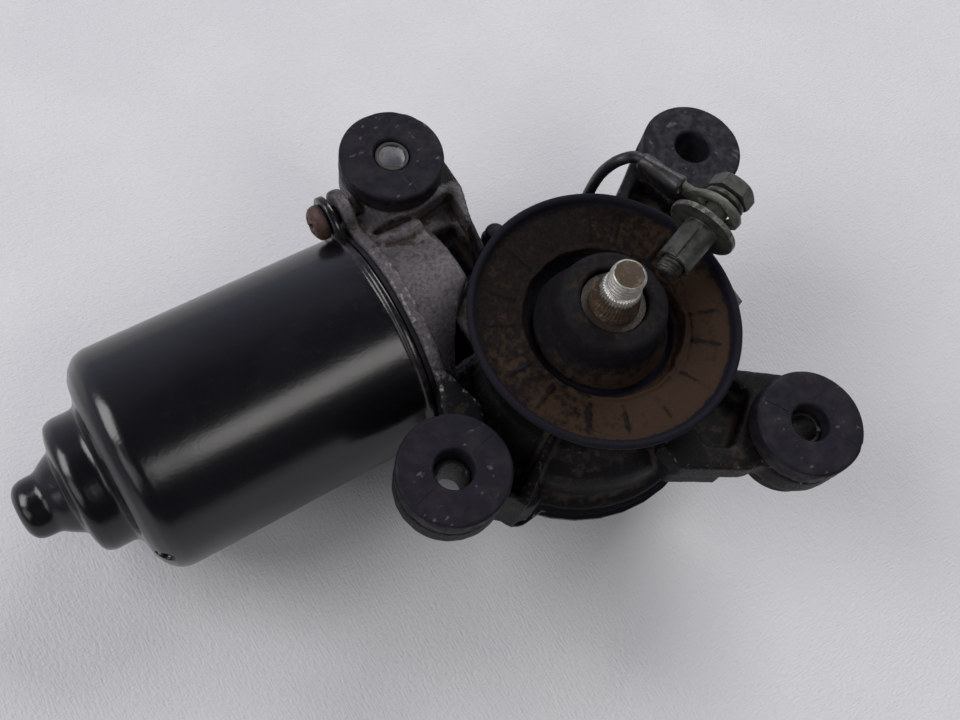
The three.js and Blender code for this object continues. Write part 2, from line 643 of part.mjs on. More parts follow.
function commutator() {
  const segments = 12;
  const points = count(segments, (i) => {
    const c = (i * 360) / segments;
    return [polar(9, c - 2), polar(8.2, c - 2), polar(8.2, c + 2), polar(9, c + 2), polar(9, c + 10.7),
      polar(9, c + 19.3)];
  });
  const barrel = prism(outline(points.flat()), -48, -31);
  const risers = tube(7, 10.5, -48, -46.4, 24);
  return onMotor(geometryOf(cut(join(barrel, risers), rod(ARMATURE_SHAFT_R + GAP, -50, -30, 24))));
}

add("armature_shaft", armatureShaft(), STEEL, armatureGroup);
add("lamination_core", laminationCore(), ZINC, armatureGroup);
add("armature_windings", armatureWindings(), COPPER, armatureGroup);
add("commutator", commutator(), COPPER, armatureGroup);
const ball = new THREE.SphereGeometry(2.4, 14, 8).translate(-132.3, MOTOR_Y, MOTOR_Z);
add("thrust_ball", ball, STEEL, armatureGroup);

// ---- fixed pieces inside the motor ----
add("magnet_upper", onMotor(sector(21.9, YOKE_R - YOKE_WALL - GAP, 120, 240, -97, -52)), FERRITE);
add("magnet_lower", onMotor(sector(21.9, YOKE_R - YOKE_WALL - GAP, -60, 60, -97, -52)), FERRITE);
add("rear_bush", onMotor(tube(ARMATURE_SHAFT_R + GAP, 7, -128.5, -123.8, 20)), BRONZE);
add("front_bush", onMotor(tube(ARMATURE_SHAFT_R + GAP, 6.5, -24, -19, 20)), BRONZE);

function thrustScrew() {
  return onMotor(geometryOf(cut(rod(3.8, 24.6, 34.6, 24), block([-0.6, 0.6], [-5, 5], [33.2, 36]))));
}
add("thrust_screw", thrustScrew(), ZINC);
add("thrust_locknut", onMotor(geometryOf(cut(rod(7.5, 31.3, 34, 6), rod(4.1, 30, 36, 24)))), ZINC);

// ---- brush gear ----
const BRUSH_ANGLES = [0, 120, 180]; // round the motor axis from +Y towards +Z: low speed, high speed, common
const BRUSH_X = [-42.5, -36.5];

// Geometry built with its radius along +Y and X along the motor, turned to an angle round the motor axis.
function atBrush(geometry, degrees) {
  return geometry.rotateX(THREE.MathUtils.degToRad(degrees)).translate(0, MOTOR_Y, MOTOR_Z);
}

function brushPlate() {
  const plate = onMotor(tube(12, 26.6, -46, -44.4, 32));
  const rim = onMotor(tube(24.6, 26.6, -45, FLANGE_X[0] - 2 * GAP, 32));
  const guides = BRUSH_ANGLES.map((a) => atBrush(block([-45, -35.2], [12, 21.6], [-3.9, 3.9]), a));
  const channels = BRUSH_ANGLES.map((a) =>
    atBrush(block([BRUSH_X[0] - GAP, BRUSH_X[1] + GAP], [8, 21], [-2.8, 2.8]), a));
  return cut(join(plate, rim, ...guides), ...channels);
}

function brushSpring() {
  const turns = 2.5;
  const steps = 15;
  const points = count(steps + 1, (i) => {
    const a = (TAU * turns * i) / steps;
    return new THREE.Vector3(-39.5 + 1.8 * Math.cos(a), 18 + (1.2 * i) / steps, 1.8 * Math.sin(a));
  });
  const section = new THREE.Shape().absarc(0, 0, 0.25, 0, TAU, false);
  const extrudePath = new THREE.CatmullRomCurve3(points);
  return new THREE.ExtrudeGeometry(section, { steps, curveSegments: 3, bevelEnabled: false, extrudePath });
}

add("brush_plate", brushPlate(), PHENOLIC);
BRUSH_ANGLES.forEach((a, i) => {
  add(`brush_${i + 1}`, atBrush(block(BRUSH_X, [9.3, 17.3], [-2.5, 2.5]), a), CARBON);
  add(`brush_spring_${i + 1}`, atBrush(brushSpring(), a), BRONZE);
});

// ---- park switch on the inside of the cover ----
function contactLeaf() {
  const strip = outline([[-22, 3.5], [-17.6, 3.5], [-10, 6], [-8.6, 5.4], [-8.4, 5.8], [-10, 6.5],
    [-17.8, 3.9], [-22, 3.9]]);
  return prism(strip, -1.5, 1.5).rotateX(Math.PI / 2);
}
add("contact_base", block([-24, -9], [-8.4, 8.4], [1.3, 3.2]), PHENOLIC);
[-6, 0, 6].forEach((y, i) => {
  add(`contact_leaf_${i + 1}`, contactLeaf(), BRONZE).position.set(0, y, 0);
});

// ---- electrical socket, breather and earth wire ----
function connectorSocket() {
  const shell = block([34.9, 50], [-7, 11], [7, 17.6]);
  const hollow = block([38, 51], [-5.4, 9.4], [8.6, 16]);
  const latch = block([40, 49], [0, 4], [17, 18.8]);
  const slots = [-2.4, 2, 6.4].map((y) => block([34, 39], [y - 1.7, y + 1.7], [11.3, 12.9]));
  return cut(join(shell, latch), hollow, ...slots);
}
add("connector_socket", connectorSocket(), BLACK_PLASTIC);
[-2.4, 2, 6.4].forEach((y, i) => {
  add(`terminal_${i + 1}`, block([35.2, 45], [y - 1.3, y + 1.3], [11.7, 12.5]), COPPER);
});

const capProfile = [[0, 19.6], [1.7, 19.6], [1.7, 24.5], [2.6, 24.5], [2.8, 25], [2.8, 26.6], [2.3, 27.5],
  [0, 27.9]];
add("breather_cap", turned(capProfile, 18).translate(...CAP_XY, 0), BLACK_PLASTIC);
const glandProfile = [[WIRE_R + GAP, 18.5], [2.8, 18.5], [2.8, 24.5], [4.3, 24.5], [4.3, 26], [3, 27.2],
  [WIRE_R + GAP, 27.4]];
add("wire_gland", turned(glandProfile, 16, true).translate(...GLAND_XY, 0), RUBBER);

// ---- loose earth bolt, with its collar and ring terminal ----
const BOLT_TURN = new THREE.Quaternion().setFromUnitVectors(new THREE.Vector3(0, 0, 1), BOLT_AXIS);
const TAB_AXIS = new THREE.Vector3(-BOLT_AXIS.y, BOLT_AXIS.x, 0).normalize() // level, square to the bolt
  .applyAxisAngle(BOLT_AXIS, THREE.MathUtils.degToRad(-7)); // then dipped by the wire's pull
const TAB_UP = new THREE.Vector3().crossVectors(BOLT_AXIS, TAB_AXIS);
const RING_AT = 21; // distance of the ring terminal from the bolt's tip
const CRIMP = [10.2, 22.4]; // the sleeved part of the terminal, from the ring's centre

// Geometry built about Z, tip at the origin, moved onto the bolt.
function onBolt(shape) {
  return geometryOf(shape).applyQuaternion(BOLT_TURN).translate(...BOLT_TIP);
}

// Geometry built with X along the terminal's tab and Z along the bolt, moved onto the bolt.
function onTab(shape) {
  const axes = new THREE.Matrix4().makeBasis(TAB_AXIS, TAB_UP, BOLT_AXIS);
  const place = BOLT_TIP.clone().addScaledVector(BOLT_AXIS, RING_AT);
  return geometryOf(shape).applyMatrix4(axes).translate(...place);
}

function groundBolt() {
  const top = BOLT_LENGTH + 0.2;
  const shank = turned([[0, 0], [2.2, 0], [BOLT_R, 0.8], [BOLT_R, top], [0, top]], 24);
  const hex = rod(5.77, BOLT_LENGTH, BOLT_LENGTH + 4, 6);
  const chamfer = turned([[0, 20], [7, 20], [7, 28], [4.8, 29], [0, 29]], 24);
  return join(shank, common(hex, chamfer));
}

function springWasher() {
  const ring = tube(BOLT_R + GAP, 5.3, 22.7, 24.6, 20);
  const split = block([-0.5, 0.5], [2, 7], [21, 26]).rotateZ(0.3);
  return cut(ring, split);
}

function boltCollar() {
  const profile = [[BOLT_R + GAP, 3.6], [COLLAR_R, 3.6], [COLLAR_R, 14.4], [COLLAR_DISC_R - 0.3, 14.4],
    [COLLAR_DISC_R, 14.7], [COLLAR_DISC_R, 15.5], [COLLAR_DISC_R - 0.3, 15.8], [BOLT_R + GAP, 15.8]];
  const seam = block([0, 8], [-0.18, 0.18], [3, 13]).rotateZ(-2.2);
  return cut(turned(profile, 28, true), seam);
}

function ringTerminal() {
  const plate = prism(linkOutline([0, 0], 6.5, [5, 0], 3.4), -0.5, 0.5);
  const tongue = block([6, 9.9], [-2.6, 2.6], [-0.5, 0.5]);
  const barrel = block([9.5, 13.4], [-1.1, 1.1], [-0.5, 0.5]);
  return cut(join(plate, tongue, barrel), rod(3.6, -2, 2, 28));
}

function crimpSleeve() {
  return tube(1.9, 2.7, ...CRIMP, 16).rotateY(Math.PI / 2);
}

function groundWire() {
  const tab = (s) => BOLT_TIP.clone().addScaledVector(BOLT_AXIS, RING_AT).addScaledVector(TAB_AXIS, s);
  const [x, y] = GLAND_XY;
  const rising = [[x, y, 17], [x, y, 22], [x, y, 27.5], [21.6, 34.8, 33], [21.5, 34.3, 39],
    [21.5, 33.5, 44.5], [22.2, 32.3, 49.4], [23.9, 31, 52.6]].map((point) => new THREE.Vector3(...point));
  const extrudePath = new THREE.CatmullRomCurve3([...rising, tab(CRIMP[1] + 1.2), tab(18), tab(14)]);
  const section = new THREE.Shape().absarc(0, 0, WIRE_R, 0, TAU, false);
  const options = { steps: 28, curveSegments: 4, bevelEnabled: false, extrudePath };
  return new THREE.ExtrudeGeometry(section, options);
}

add("ground_bolt", onBolt(groundBolt()), ZINC);
add("spring_washer", onBolt(springWasher()), ZINC);
add("bolt_collar", onBolt(boltCollar()), ZINC);
add("ring_terminal", onTab(ringTerminal()), ZINC);
add("wire_crimp_sleeve", onTab(crimpSleeve()), BLACK_PLASTIC);
add("ground_wire", groundWire(), BLACK_PLASTIC);

export default wiperMotor;
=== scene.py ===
"""A windshield wiper motor with its gearbox, seal, rubber mounts and earth bolt, on a pale table."""

import math

import bmesh
import bpy
import numpy as np
from mathutils import Matrix, Vector


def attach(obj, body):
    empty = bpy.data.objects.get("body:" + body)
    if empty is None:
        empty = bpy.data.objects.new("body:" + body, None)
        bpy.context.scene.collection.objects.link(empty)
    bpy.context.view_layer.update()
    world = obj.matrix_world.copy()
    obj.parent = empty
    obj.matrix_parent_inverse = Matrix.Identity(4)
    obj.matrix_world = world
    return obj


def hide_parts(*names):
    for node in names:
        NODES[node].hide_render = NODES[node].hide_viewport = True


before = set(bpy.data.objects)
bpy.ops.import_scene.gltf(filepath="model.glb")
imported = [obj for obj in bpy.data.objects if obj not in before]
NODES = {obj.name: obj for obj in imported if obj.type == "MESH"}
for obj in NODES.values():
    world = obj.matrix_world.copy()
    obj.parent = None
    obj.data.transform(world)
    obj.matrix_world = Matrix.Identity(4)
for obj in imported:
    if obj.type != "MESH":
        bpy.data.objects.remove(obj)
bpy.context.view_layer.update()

MM = 0.001
TAU = 2 * math.pi

# ---- places and sizes from the CAD, in millimetres ----
MOTOR_Y, MOTOR_Z = 31.9, 12.0
YOKE_MOUTH_X = -41.6
SCREW_CIRCLE_R = 34.2
SCREW_ANGLES = {"upper": 39, "lower": 219}
EYES = {"rear": (-21.2, 64.2), "nose": (51.1, 31.1), "near": (-49.6, -13.8), "front": (30.7, -45.5)}
MOULD_LINES = {"rear": -89, "near": -166, "front": -57}
SLEEVE_TOPS = {"rear": 39.6, "near": 34.4, "front": 36.0}
CAP_XY = (-3.6, 38.9)
GLAND_XY = (21.4, 35.0)
BOLT_TIP = Vector((14.6, 0.1, 52.3))
BOLT_AXIS = Vector((0.9222, 0.3282, 0.2045)).normalized()
TAB_TURN = -7  # degrees, the terminal's tongue round the bolt
RING_AT = 21.0
CRIMP = (10.2, 22.4)
WIRE_R = 1.45
FLOOR_Z = -18.6

UPRIGHT = Matrix.Identity(4)
MOTOR = Matrix(((0, 0, 1, 0), (1, 0, 0, MOTOR_Y), (0, 1, 0, MOTOR_Z), (0, 0, 0, 1)))


def axes(origin, x, y, z):
    """A matrix that puts local x, y and z along these directions."""
    rows = [[x[i], y[i], z[i], origin[i]] for i in range(3)]
    return Matrix(rows + [[0, 0, 0, 1]])


E1 = Vector((0, 0, 1)).cross(BOLT_AXIS).normalized()
E2 = BOLT_AXIS.cross(E1)
BOLT = axes(BOLT_TIP, E1, E2, BOLT_AXIS)
TAB_AXIS = Matrix.Rotation(math.radians(TAB_TURN), 3, BOLT_AXIS) @ E1
RING_CENTRE = BOLT_TIP + RING_AT * BOLT_AXIS


# ---- camera ----
def make_camera():
    """The photograph's viewpoint."""
    right = Vector((0.84448, -0.51867, 0.13356))
    down = Vector((-0.43631, -0.81084, -0.39009))
    forward = Vector((0.31062, 0.27116, -0.91104))
    data = bpy.data.cameras.new("camera")
    data.sensor_width = 36
    data.lens = 37.694
    data.clip_start = 0.01
    camera = bpy.data.objects.new("camera", data)
    bpy.context.collection.objects.link(camera)
    place = axes(Vector((-0.10334, -0.05740, 0.25273)), right, -down, -forward)
    camera.matrix_world = place
    bpy.context.scene.camera = camera


# ---- noise on arrays ----
def lattice(ix, iy, iz, seed):
    """A repeatable number from 0 to 1 at each whole-number point."""
    h = (ix * 374761393 + iy * 668265263 + iz * 2147483647 + seed * 1274126177) & 0xFFFFFFFF
    h = ((h ^ (h >> 13)) * 1103515245) & 0xFFFFFFFF
    return ((h ^ (h >> 16)) & 0xFFFFFF) / 0xFFFFFF


def noise(points, size, seed=0):
    """Smooth noise from -1 to 1 at an array of points, with bumps about size across."""
    p = np.asarray(points, float) / size
    base = np.floor(p).astype(np.int64)
    t = p - base
    t = t * t * (3 - 2 * t)
    total = np.zeros(p.shape[:-1])
    for corner in range(8):
        step = np.array([corner & 1, (corner >> 1) & 1, corner >> 2])
        weight = np.prod(np.where(step == 1, t, 1 - t), axis=-1)
        at = base + step
        total += weight * lattice(at[..., 0], at[..., 1], at[..., 2], seed)
    return 2 * total - 1


def rough_noise(points, size, seed=0, layers=3):
    """Noise with finer layers on top."""
    total = sum(noise(points, size / 2**k, seed + k) / 2**k for k in range(layers))
    return total / (2 - 0.5 ** (layers - 1))


def smoothstep(x, low, high):
    t = np.clip((x - low) / (high - low), 0, 1)
    return t * t * (3 - 2 * t)


# ---- mesh building ----
def rounded(profile, radius, closed=False, steps=4):
    """A polyline with its corners turned into small arcs."""
    points = [np.array(p, float) for p in profile]
    count = len(points)
    made = []
    for i, corner in enumerate(points):
        if not closed and i in (0, count - 1):
            made.append(corner)
            continue
        before, after = points[i - 1], points[(i + 1) % count]
        reach_in = np.linalg.norm(before - corner)
        reach_out = np.linalg.norm(after - corner)
        cut = min(radius, reach_in * 0.45, reach_out * 0.45)
        start = corner + (before - corner) * cut / reach_in
        end = corner + (after - corner) * cut / reach_out
        for k in range(steps + 1):
            t = k / steps
            made.append((1 - t) ** 2 * start + 2 * t * (1 - t) * corner + t**2 * end)
    return made


def divided(points, longest, closed=False):
    """The same polyline with no stretch longer than this."""
    ring = points + [points[0]] if closed else points
    made = [ring[0]]
    for a, b in zip(ring, ring[1:]):
        length = float(np.linalg.norm(b - a))
        if length < 1e-6:
            continue
        pieces = max(1, math.ceil(length / longest))
        made += [a + (b - a) * (k + 1) / pieces for k in range(pieces)]
    return made[:-1] if closed else made


def link(name, mesh):
    obj = bpy.data.objects.new(name, mesh)
    bpy.context.collection.objects.link(obj)
    return obj


def grid_faces(rows, cols, wrap_rows, wrap_cols, first=0):
    faces = []
    for i in range(rows if wrap_rows else rows - 1):
        for j in range(cols if wrap_cols else cols - 1):
            below, beside = (i + 1) % rows, (j + 1) % cols
            corners = (i * cols + j, i * cols + beside, below * cols + beside, below * cols + j)
            faces.append(tuple(first + c for c in corners))
    return faces


def mesh_of(name, vertices, faces, place=UPRIGHT):
    """A smooth-shaded mesh from points in millimetres, with doubled points joined."""
    mesh = bpy.data.meshes.new(name)
    world = [place @ Vector(v) * MM for v in np.asarray(vertices, float)]
    mesh.from_pydata(world, [], faces)
    clean(mesh)
    return link(name, mesh)


def clean(mesh):
    """Joins doubled points, turns the faces out and shades them smoothly."""
    work = bmesh.new()
    work.from_mesh(mesh)
    bmesh.ops.remove_doubles(work, verts=work.verts, dist=1e-7)
    bmesh.ops.dissolve_degenerate(work, edges=work.edges, dist=1e-8)
    bmesh.ops.recalc_face_normals(work, faces=work.faces)
    for face in work.faces:
        face.smooth = True
    work.to_mesh(mesh)
    work.free()
    mesh.update()


def turned(name, profile, sides, place=UPRIGHT, closed=False, fillet=0.3, longest=3, shape=None):
    """A lathe-turned piece. shape(r, z, angle) may move its points."""
    outline = divided(rounded(profile, fillet, closed), longest, closed)
    r, z = np.array(outline).T
    angle = np.arange(sides) * TAU / sides
    r, z, angle = np.broadcast_arrays(r[:, None], z[:, None], angle[None, :])
    if shape:
        r, z = shape(r, z, angle)
    points = np.stack([r * np.cos(angle), r * np.sin(angle), z], -1)
    faces = grid_faces(len(outline), sides, closed, True)
    return mesh_of(name, points.reshape(-1, 3), faces, place)


def points_of(mesh):
    """Vertex positions in millimetres."""
    flat = np.empty(len(mesh.vertices) * 3, np.float32)
    mesh.vertices.foreach_get("co", flat)
    return flat.reshape(-1, 3).astype(float) / MM


def normals_of(mesh):
    flat = np.empty(len(mesh.vertices) * 3, np.float32)
    mesh.vertices.foreach_get("normal", flat)
    return flat.reshape(-1, 3).astype(float)


def set_points(mesh, points):
    mesh.vertices.foreach_set("co", (points * MM).astype(np.float32).ravel())
    mesh.update()


def paint(obj, name, values):
    """Stores one number per vertex for the material to read."""
    layer = obj.data.attributes.new(name, "FLOAT", "POINT")
    layer.data.foreach_set("value", np.clip(values, 0, 1).astype(np.float32))


def push(obj, amount):
    """Moves each vertex along its normal by amount(points), in millimetres."""
    points = points_of(obj.data)
    set_points(obj.data, points + normals_of(obj.data) * amount(points)[:, None])


def with_modifiers(name, source, *settings):
    """A new mesh object: the source with these modifiers applied."""
    work = link(name + "_work", source.data.copy())
    for kind, options in settings:
        modifier = work.modifiers.new(kind, kind)
        for key, value in options.items():
            setattr(modifier, key, value)
    graph = bpy.context.evaluated_depsgraph_get()
    mesh = bpy.data.meshes.new_from_object(work.evaluated_get(graph))
    bpy.data.objects.remove(work)
    mesh.materials.clear()
    clean(mesh)
    return link(name, mesh)


def curvature(mesh, rounds):
    """How convex the surface is at each vertex, above 0 on outer edges, spread over its neighbours."""
    edges = np.empty(len(mesh.edges) * 2, np.int32)
    mesh.edges.foreach_get("vertices", edges)
    a, b = edges.reshape(-1, 2).T
    count = len(mesh.vertices)
    degree = np.bincount(a, minlength=count) + np.bincount(b, minlength=count)

    def neighbour_mean(values):
        total = np.bincount(a, values[b], count) + np.bincount(b, values[a], count)
        return total / np.maximum(degree, 1)

    points, normals = points_of(mesh), normals_of(mesh)
    mean = np.stack([neighbour_mean(points[:, k]) for k in range(3)], 1)
    bend = np.einsum("ij,ij->i", points - mean, normals)
    for _ in range(rounds):
        bend = 0.5 * bend + 0.5 * neighbour_mean(bend)
    return bend


# ---- materials ----
class Paint:
    """A small wrapper round a node tree, in object coordinates."""

    def __init__(self, name):
        self.material = bpy.data.materials.new(name)
        self.material.use_nodes = True
        self.tree = self.material.node_tree
        self.shader = self.tree.nodes["Principled BSDF"]
        self.place = self.tree.nodes.new("ShaderNodeTexCoord").outputs["Object"]

    def node(self, kind, **options):
        made = self.tree.nodes.new(kind)
        for key, value in options.items():
            setattr(made, key, value)
        return made

    def plug(self, socket, value):
        if isinstance(value, bpy.types.NodeSocket):
            self.tree.links.new(value, socket)
        else:
            socket.default_value = value

    def noise(self, size, detail=4, rough=0.55, stretch=None):
        """Noise from 0 to 1 with features about size millimetres across."""
        texture = self.node("ShaderNodeTexNoise")
        vector = self.place
        if stretch:
            mapping = self.node("ShaderNodeMapping")
            mapping.inputs["Scale"].default_value = stretch
            self.plug(mapping.inputs["Vector"], vector)
            vector = mapping.outputs["Vector"]
        self.plug(texture.inputs["Vector"], vector)
        texture.inputs["Scale"].default_value = 1 / (size * MM)
        texture.inputs["Detail"].default_value = detail
        texture.inputs["Roughness"].default_value = rough
        return texture.outputs["Fac"]

    def range(self, value, low, high, to_low=0.0, to_high=1.0):
        made = self.node("ShaderNodeMapRange", interpolation_type="SMOOTHSTEP")
        self.plug(made.inputs["Value"], value)
        for socket, number in zip(made.inputs[1:5], (low, high, to_low, to_high)):
            socket.default_value = number
        return made.outputs["Result"]

    def math(self, operation, a, b=0.0):
        made = self.node("ShaderNodeMath", operation=operation)
        self.plug(made.inputs[0], a)
        self.plug(made.inputs[1], b)
        return made.outputs[0]

    def mix(self, share, a, b):
        made = self.node("ShaderNodeMix", data_type="RGBA")
        self.plug(made.inputs[0], share)
        for socket, colour in ((made.inputs[6], a), (made.inputs[7], b)):
            self.plug(socket, colour if isinstance(colour, bpy.types.NodeSocket) else (*colour, 1))
        return made.outputs[2]

    def painted(self, name):
        return self.node("ShaderNodeAttribute", attribute_name=name).outputs["Fac"]

    def specks(self, spacing, share, size):
        """Scattered dots, 1 inside a dot."""
        cells = self.node("ShaderNodeTexVoronoi")
        self.plug(cells.inputs["Vector"], self.place)
        cells.inputs["Scale"].default_value = 1 / (spacing * MM)
        near = self.range(cells.outputs["Distance"], size / spacing, 0.6 * size / spacing)
        split = self.node("ShaderNodeSeparateColor")
        self.plug(split.inputs[0], cells.outputs["Color"])
        chosen = self.math("LESS_THAN", split.outputs[0], share)
        return self.math("MULTIPLY", near, chosen)

    def bump(self, height, depth, under=None):
        """Relief of depth millimetres from a 0 to 1 height."""
        made = self.node("ShaderNodeBump")
        made.inputs["Strength"].default_value = 1.0
        made.inputs["Distance"].default_value = depth * MM
        self.plug(made.inputs["Height"], height)
        if under:
            self.plug(made.inputs["Normal"], under)
        return made.outputs["Normal"]

    def set(self, **values):
        for name, value in values.items():
            socket = self.shader.inputs[name.replace("_", " ")]
            if isinstance(value, tuple) and len(value) == 3:
                value = (*value, 1)
            self.plug(socket, value)


def surface(name, base, patch, patch_size=6, patch_at=(0.45, 0.65), rough=(0.4, 0.6), metallic=0.0,
            grain=(0.5, 0.02), wave=None, dark_tone=None, dirt=None, wear=None, specks=None,
            specular=0.5):
    """One finish: two tones in patches, layers of a darker tone, dirt and wear, specks, grain and waves. The
    darker tone is the stud's tan and greasy base, and on the casting soot with painted shade.
    """
    p = Paint(name)
    patches = p.noise(patch_size, 6, 0.6)
    colour = p.mix(p.range(patches, *patch_at), base, patch)
    roughness = p.range(p.noise(patch_size * 0.4, 4), 0.35, 0.65, *rough)
    metal = metallic
    fine = p.noise(grain[0], 4, 0.6)
    if dark_tone:
        share = p.range(p.math("ADD", p.painted("dark_tone"), p.range(patches, 0.3, 0.7, -0.25, 0.25)), 0.25, 0.75)
        colour = p.mix(share, colour, dark_tone)
        metal = p.range(share, 0, 1, metallic, 0.0)
    if dirt:
        share = p.math("ADD", p.painted("dirt"), p.range(p.noise(2.2, 5, 0.65), 0.3, 0.7, -0.35, 0.35))
        colour = p.mix(p.range(share, 0.2, 0.8), colour, dirt)
    if wear:
        share = p.math("ADD", p.painted("wear"), p.range(p.noise(1.5, 5, 0.7), 0.3, 0.7, -0.4, 0.4))
        share = p.range(share, 0.35, 0.7)
        colour = p.mix(share, colour, wear)
    if specks:
        colour = p.mix(p.specks(*specks[1:]), colour, specks[0])
    normal = p.bump(fine, grain[1])
    if wave:
        normal = p.bump(p.noise(wave[0], 2, 0.4), wave[1], under=normal)
    p.set(Base_Color=colour, Roughness=roughness, Metallic=metal, Normal=normal)
    p.shader.inputs["Specular IOR Level"].default_value = specular
    return p.material


def make_materials():
    dust = (0.2, 0.18, 0.15)
    return {
        "enamel": surface("enamel", (0.0035, 0.0032, 0.0045), (0.0055, 0.005, 0.0068), 18, rough=(0.2, 0.225),
                          grain=(0.8, 0.03), wave=(3.4, 0.02), dirt=(0.02, 0.016, 0.014),
                          specks=(dust, 6, 0.05, 0.11), specular=0.5),
        # The casting's darker tone: soot, with painted shade on its lower and front parts.
        "casting": surface("casting", (0.108, 0.099, 0.106), (0.066, 0.058, 0.06), 0.9, (0.38, 0.66),
                           (0.42, 0.62), 0.4, (0.42, 0.12), (2.4, 0.05), (0.0045, 0.004, 0.0048),
                           (0.03, 0.022, 0.018), (0.21, 0.195, 0.19), (dust, 3.1, 0.04, 0.09), specular=0.12),
        "rubber": surface("rubber", (0.0078, 0.0069, 0.0115), (0.0145, 0.0128, 0.0172), 5, rough=(0.5, 0.72),
                          grain=(0.35, 0.03), wave=(2.5, 0.03), dirt=(0.02, 0.0155, 0.015),
                          wear=(0.06, 0.057, 0.066), specks=(dust, 2.6, 0.05, 0.09), specular=0.14),
        "seal": surface("seal", (0.0055, 0.0038, 0.004), (0.0115, 0.007, 0.0056), 1.3, (0.38, 0.66),
                        rough=(0.62, 0.82), grain=(0.5, 0.12), wave=(2.0, 0.07), dirt=(0.032, 0.0185, 0.0115),
                        wear=(0.0095, 0.009, 0.014), specks=((0.15, 0.11, 0.06), 2.4, 0.06, 0.1),
                        specular=0.08),
        "boot": surface("boot", (0.0062, 0.0055, 0.0068), (0.0095, 0.008, 0.0085), 4, rough=(0.6, 0.8),
                        grain=(0.4, 0.05), wave=(2.4, 0.05), dirt=(0.028, 0.017, 0.0118),
                        specks=((0.12, 0.09, 0.06), 2.2, 0.05, 0.08), specular=0.1),
        "zinc": surface("zinc", (0.075, 0.078, 0.068), (0.048, 0.05, 0.044), 2.4, rough=(0.42, 0.58),
                        metallic=0.55, grain=(0.3, 0.03), dirt=(0.024, 0.021, 0.016),
                        wear=(0.17, 0.17, 0.15), specks=((0.35, 0.25, 0.1), 1.9, 0.03, 0.14)),
        "rusty": surface("rusty", (0.07, 0.034, 0.026), (0.034, 0.02, 0.018), 1.6, rough=(0.5, 0.72),
                         metallic=0.3, grain=(0.35, 0.07), dirt=(0.016, 0.011, 0.011),
                         wear=(0.13, 0.07, 0.052)),
        "stud": surface("stud", (0.46, 0.44, 0.4), (0.34, 0.31, 0.26), 1.5, rough=(0.36, 0.5), metallic=0.85,
                        grain=(0.22, 0.02), dark_tone=(0.05, 0.033, 0.02), dirt=(0.16, 0.12, 0.085),
                        wear=(0.62, 0.6, 0.56), specular=0.15),
        "tin": surface("tin", (0.135, 0.135, 0.112), (0.1, 0.1, 0.084), 2, rough=(0.45, 0.6),
                       metallic=0.3,
                       grain=(0.3, 0.03), dirt=(0.075, 0.07, 0.055), wear=(0.33, 0.33, 0.29)),
        "sleeve": surface("sleeve", (0.6, 0.6, 0.62), (0.42, 0.42, 0.43), 2, rough=(0.4, 0.55), metallic=0.2,
                          grain=(0.3, 0.02), dirt=(0.02, 0.017, 0.016), wear=(0.5, 0.5, 0.5)),
        # Dark grease, darkened further as painted shade for the parts seen down the boot's shadowed hole.
        "grease_and_shade": surface("grease_and_shade", (0.03, 0.02, 0.014), (0.014, 0.0105, 0.0085), 1.4, rough=(0.45, 0.7),
                         metallic=0.3, grain=(0.3, 0.06)),
        # A dark copy of the sleeve metal, for sleeves deep in their holes: painted shade, with a painted
        # glint as its wear colour.
        "sleeve_in_shade": surface("sleeve_in_shade", (0.028, 0.027, 0.027), (0.014, 0.0135, 0.014), 1.6, rough=(0.4, 0.6),
                        metallic=0.5,
                        grain=(0.3, 0.04), dirt=(0.009, 0.008, 0.008), wear=(0.16, 0.155, 0.15)),
        "steel": surface("steel", (0.42, 0.41, 0.38), (0.3, 0.29, 0.27), 3, rough=(0.25, 0.4), metallic=0.95,
                         grain=(0.3, 0.01), dirt=(0.05, 0.042, 0.034), wear=(0.5, 0.49, 0.46)),
        "bronze": surface("bronze", (0.45, 0.27, 0.11), (0.3, 0.17, 0.07), 2, rough=(0.4, 0.6), metallic=0.85,
                          grain=(0.3, 0.03)),
        "copper": surface("copper", (0.62, 0.25, 0.11), (0.42, 0.15, 0.06), 2, rough=(0.25, 0.4),
                          metallic=0.9,
                          grain=(0.4, 0.03)),
        "ferrite": surface("ferrite", (0.032, 0.032, 0.036), (0.05, 0.05, 0.054), 3, rough=(0.6, 0.8),
                           grain=(0.4, 0.05)),
        "nylon": surface("nylon", (0.68, 0.64, 0.52), (0.6, 0.55, 0.43), 8, rough=(0.38, 0.5),
                         grain=(0.8, 0.02)),
        "phenolic": surface("phenolic", (0.16, 0.075, 0.032), (0.11, 0.05, 0.022), 3, rough=(0.45, 0.6),
                            grain=(0.5, 0.03)),
        "plastic": surface("plastic", (0.011, 0.011, 0.013), (0.017, 0.017, 0.019), 5, rough=(0.42, 0.55),
                           grain=(0.4, 0.03), specks=(dust, 3, 0.05, 0.09)),
        "carbon": surface("carbon", (0.02, 0.02, 0.022), (0.035, 0.034, 0.036), 1.5, rough=(0.45, 0.65),
                          grain=(0.25, 0.03)),
        "sheath": surface("sheath", (0.0055, 0.005, 0.007), (0.0085, 0.008, 0.0105), 2.5, rough=(0.36, 0.5),
                          grain=(0.8, 0.04), wave=(2, 0.06), dirt=(0.02, 0.015, 0.012),
                          specks=((0.22, 0.17, 0.09), 1.8, 0.05, 0.1), specular=0.5),
    }


def finish_piece(piece, material, body, *replaced, slot=None):
    """Gives a piece its material, its body and the CAD nodes it stands for."""
    piece.data.materials.append(MATERIALS[material])
    for name in ("dark_tone", "dirt", "wear"):
        if name not in piece.data.attributes:
            paint(piece, name, np.zeros(len(piece.data.vertices)))
    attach(piece, body)
    if replaced:
        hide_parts(*replaced)
    return piece


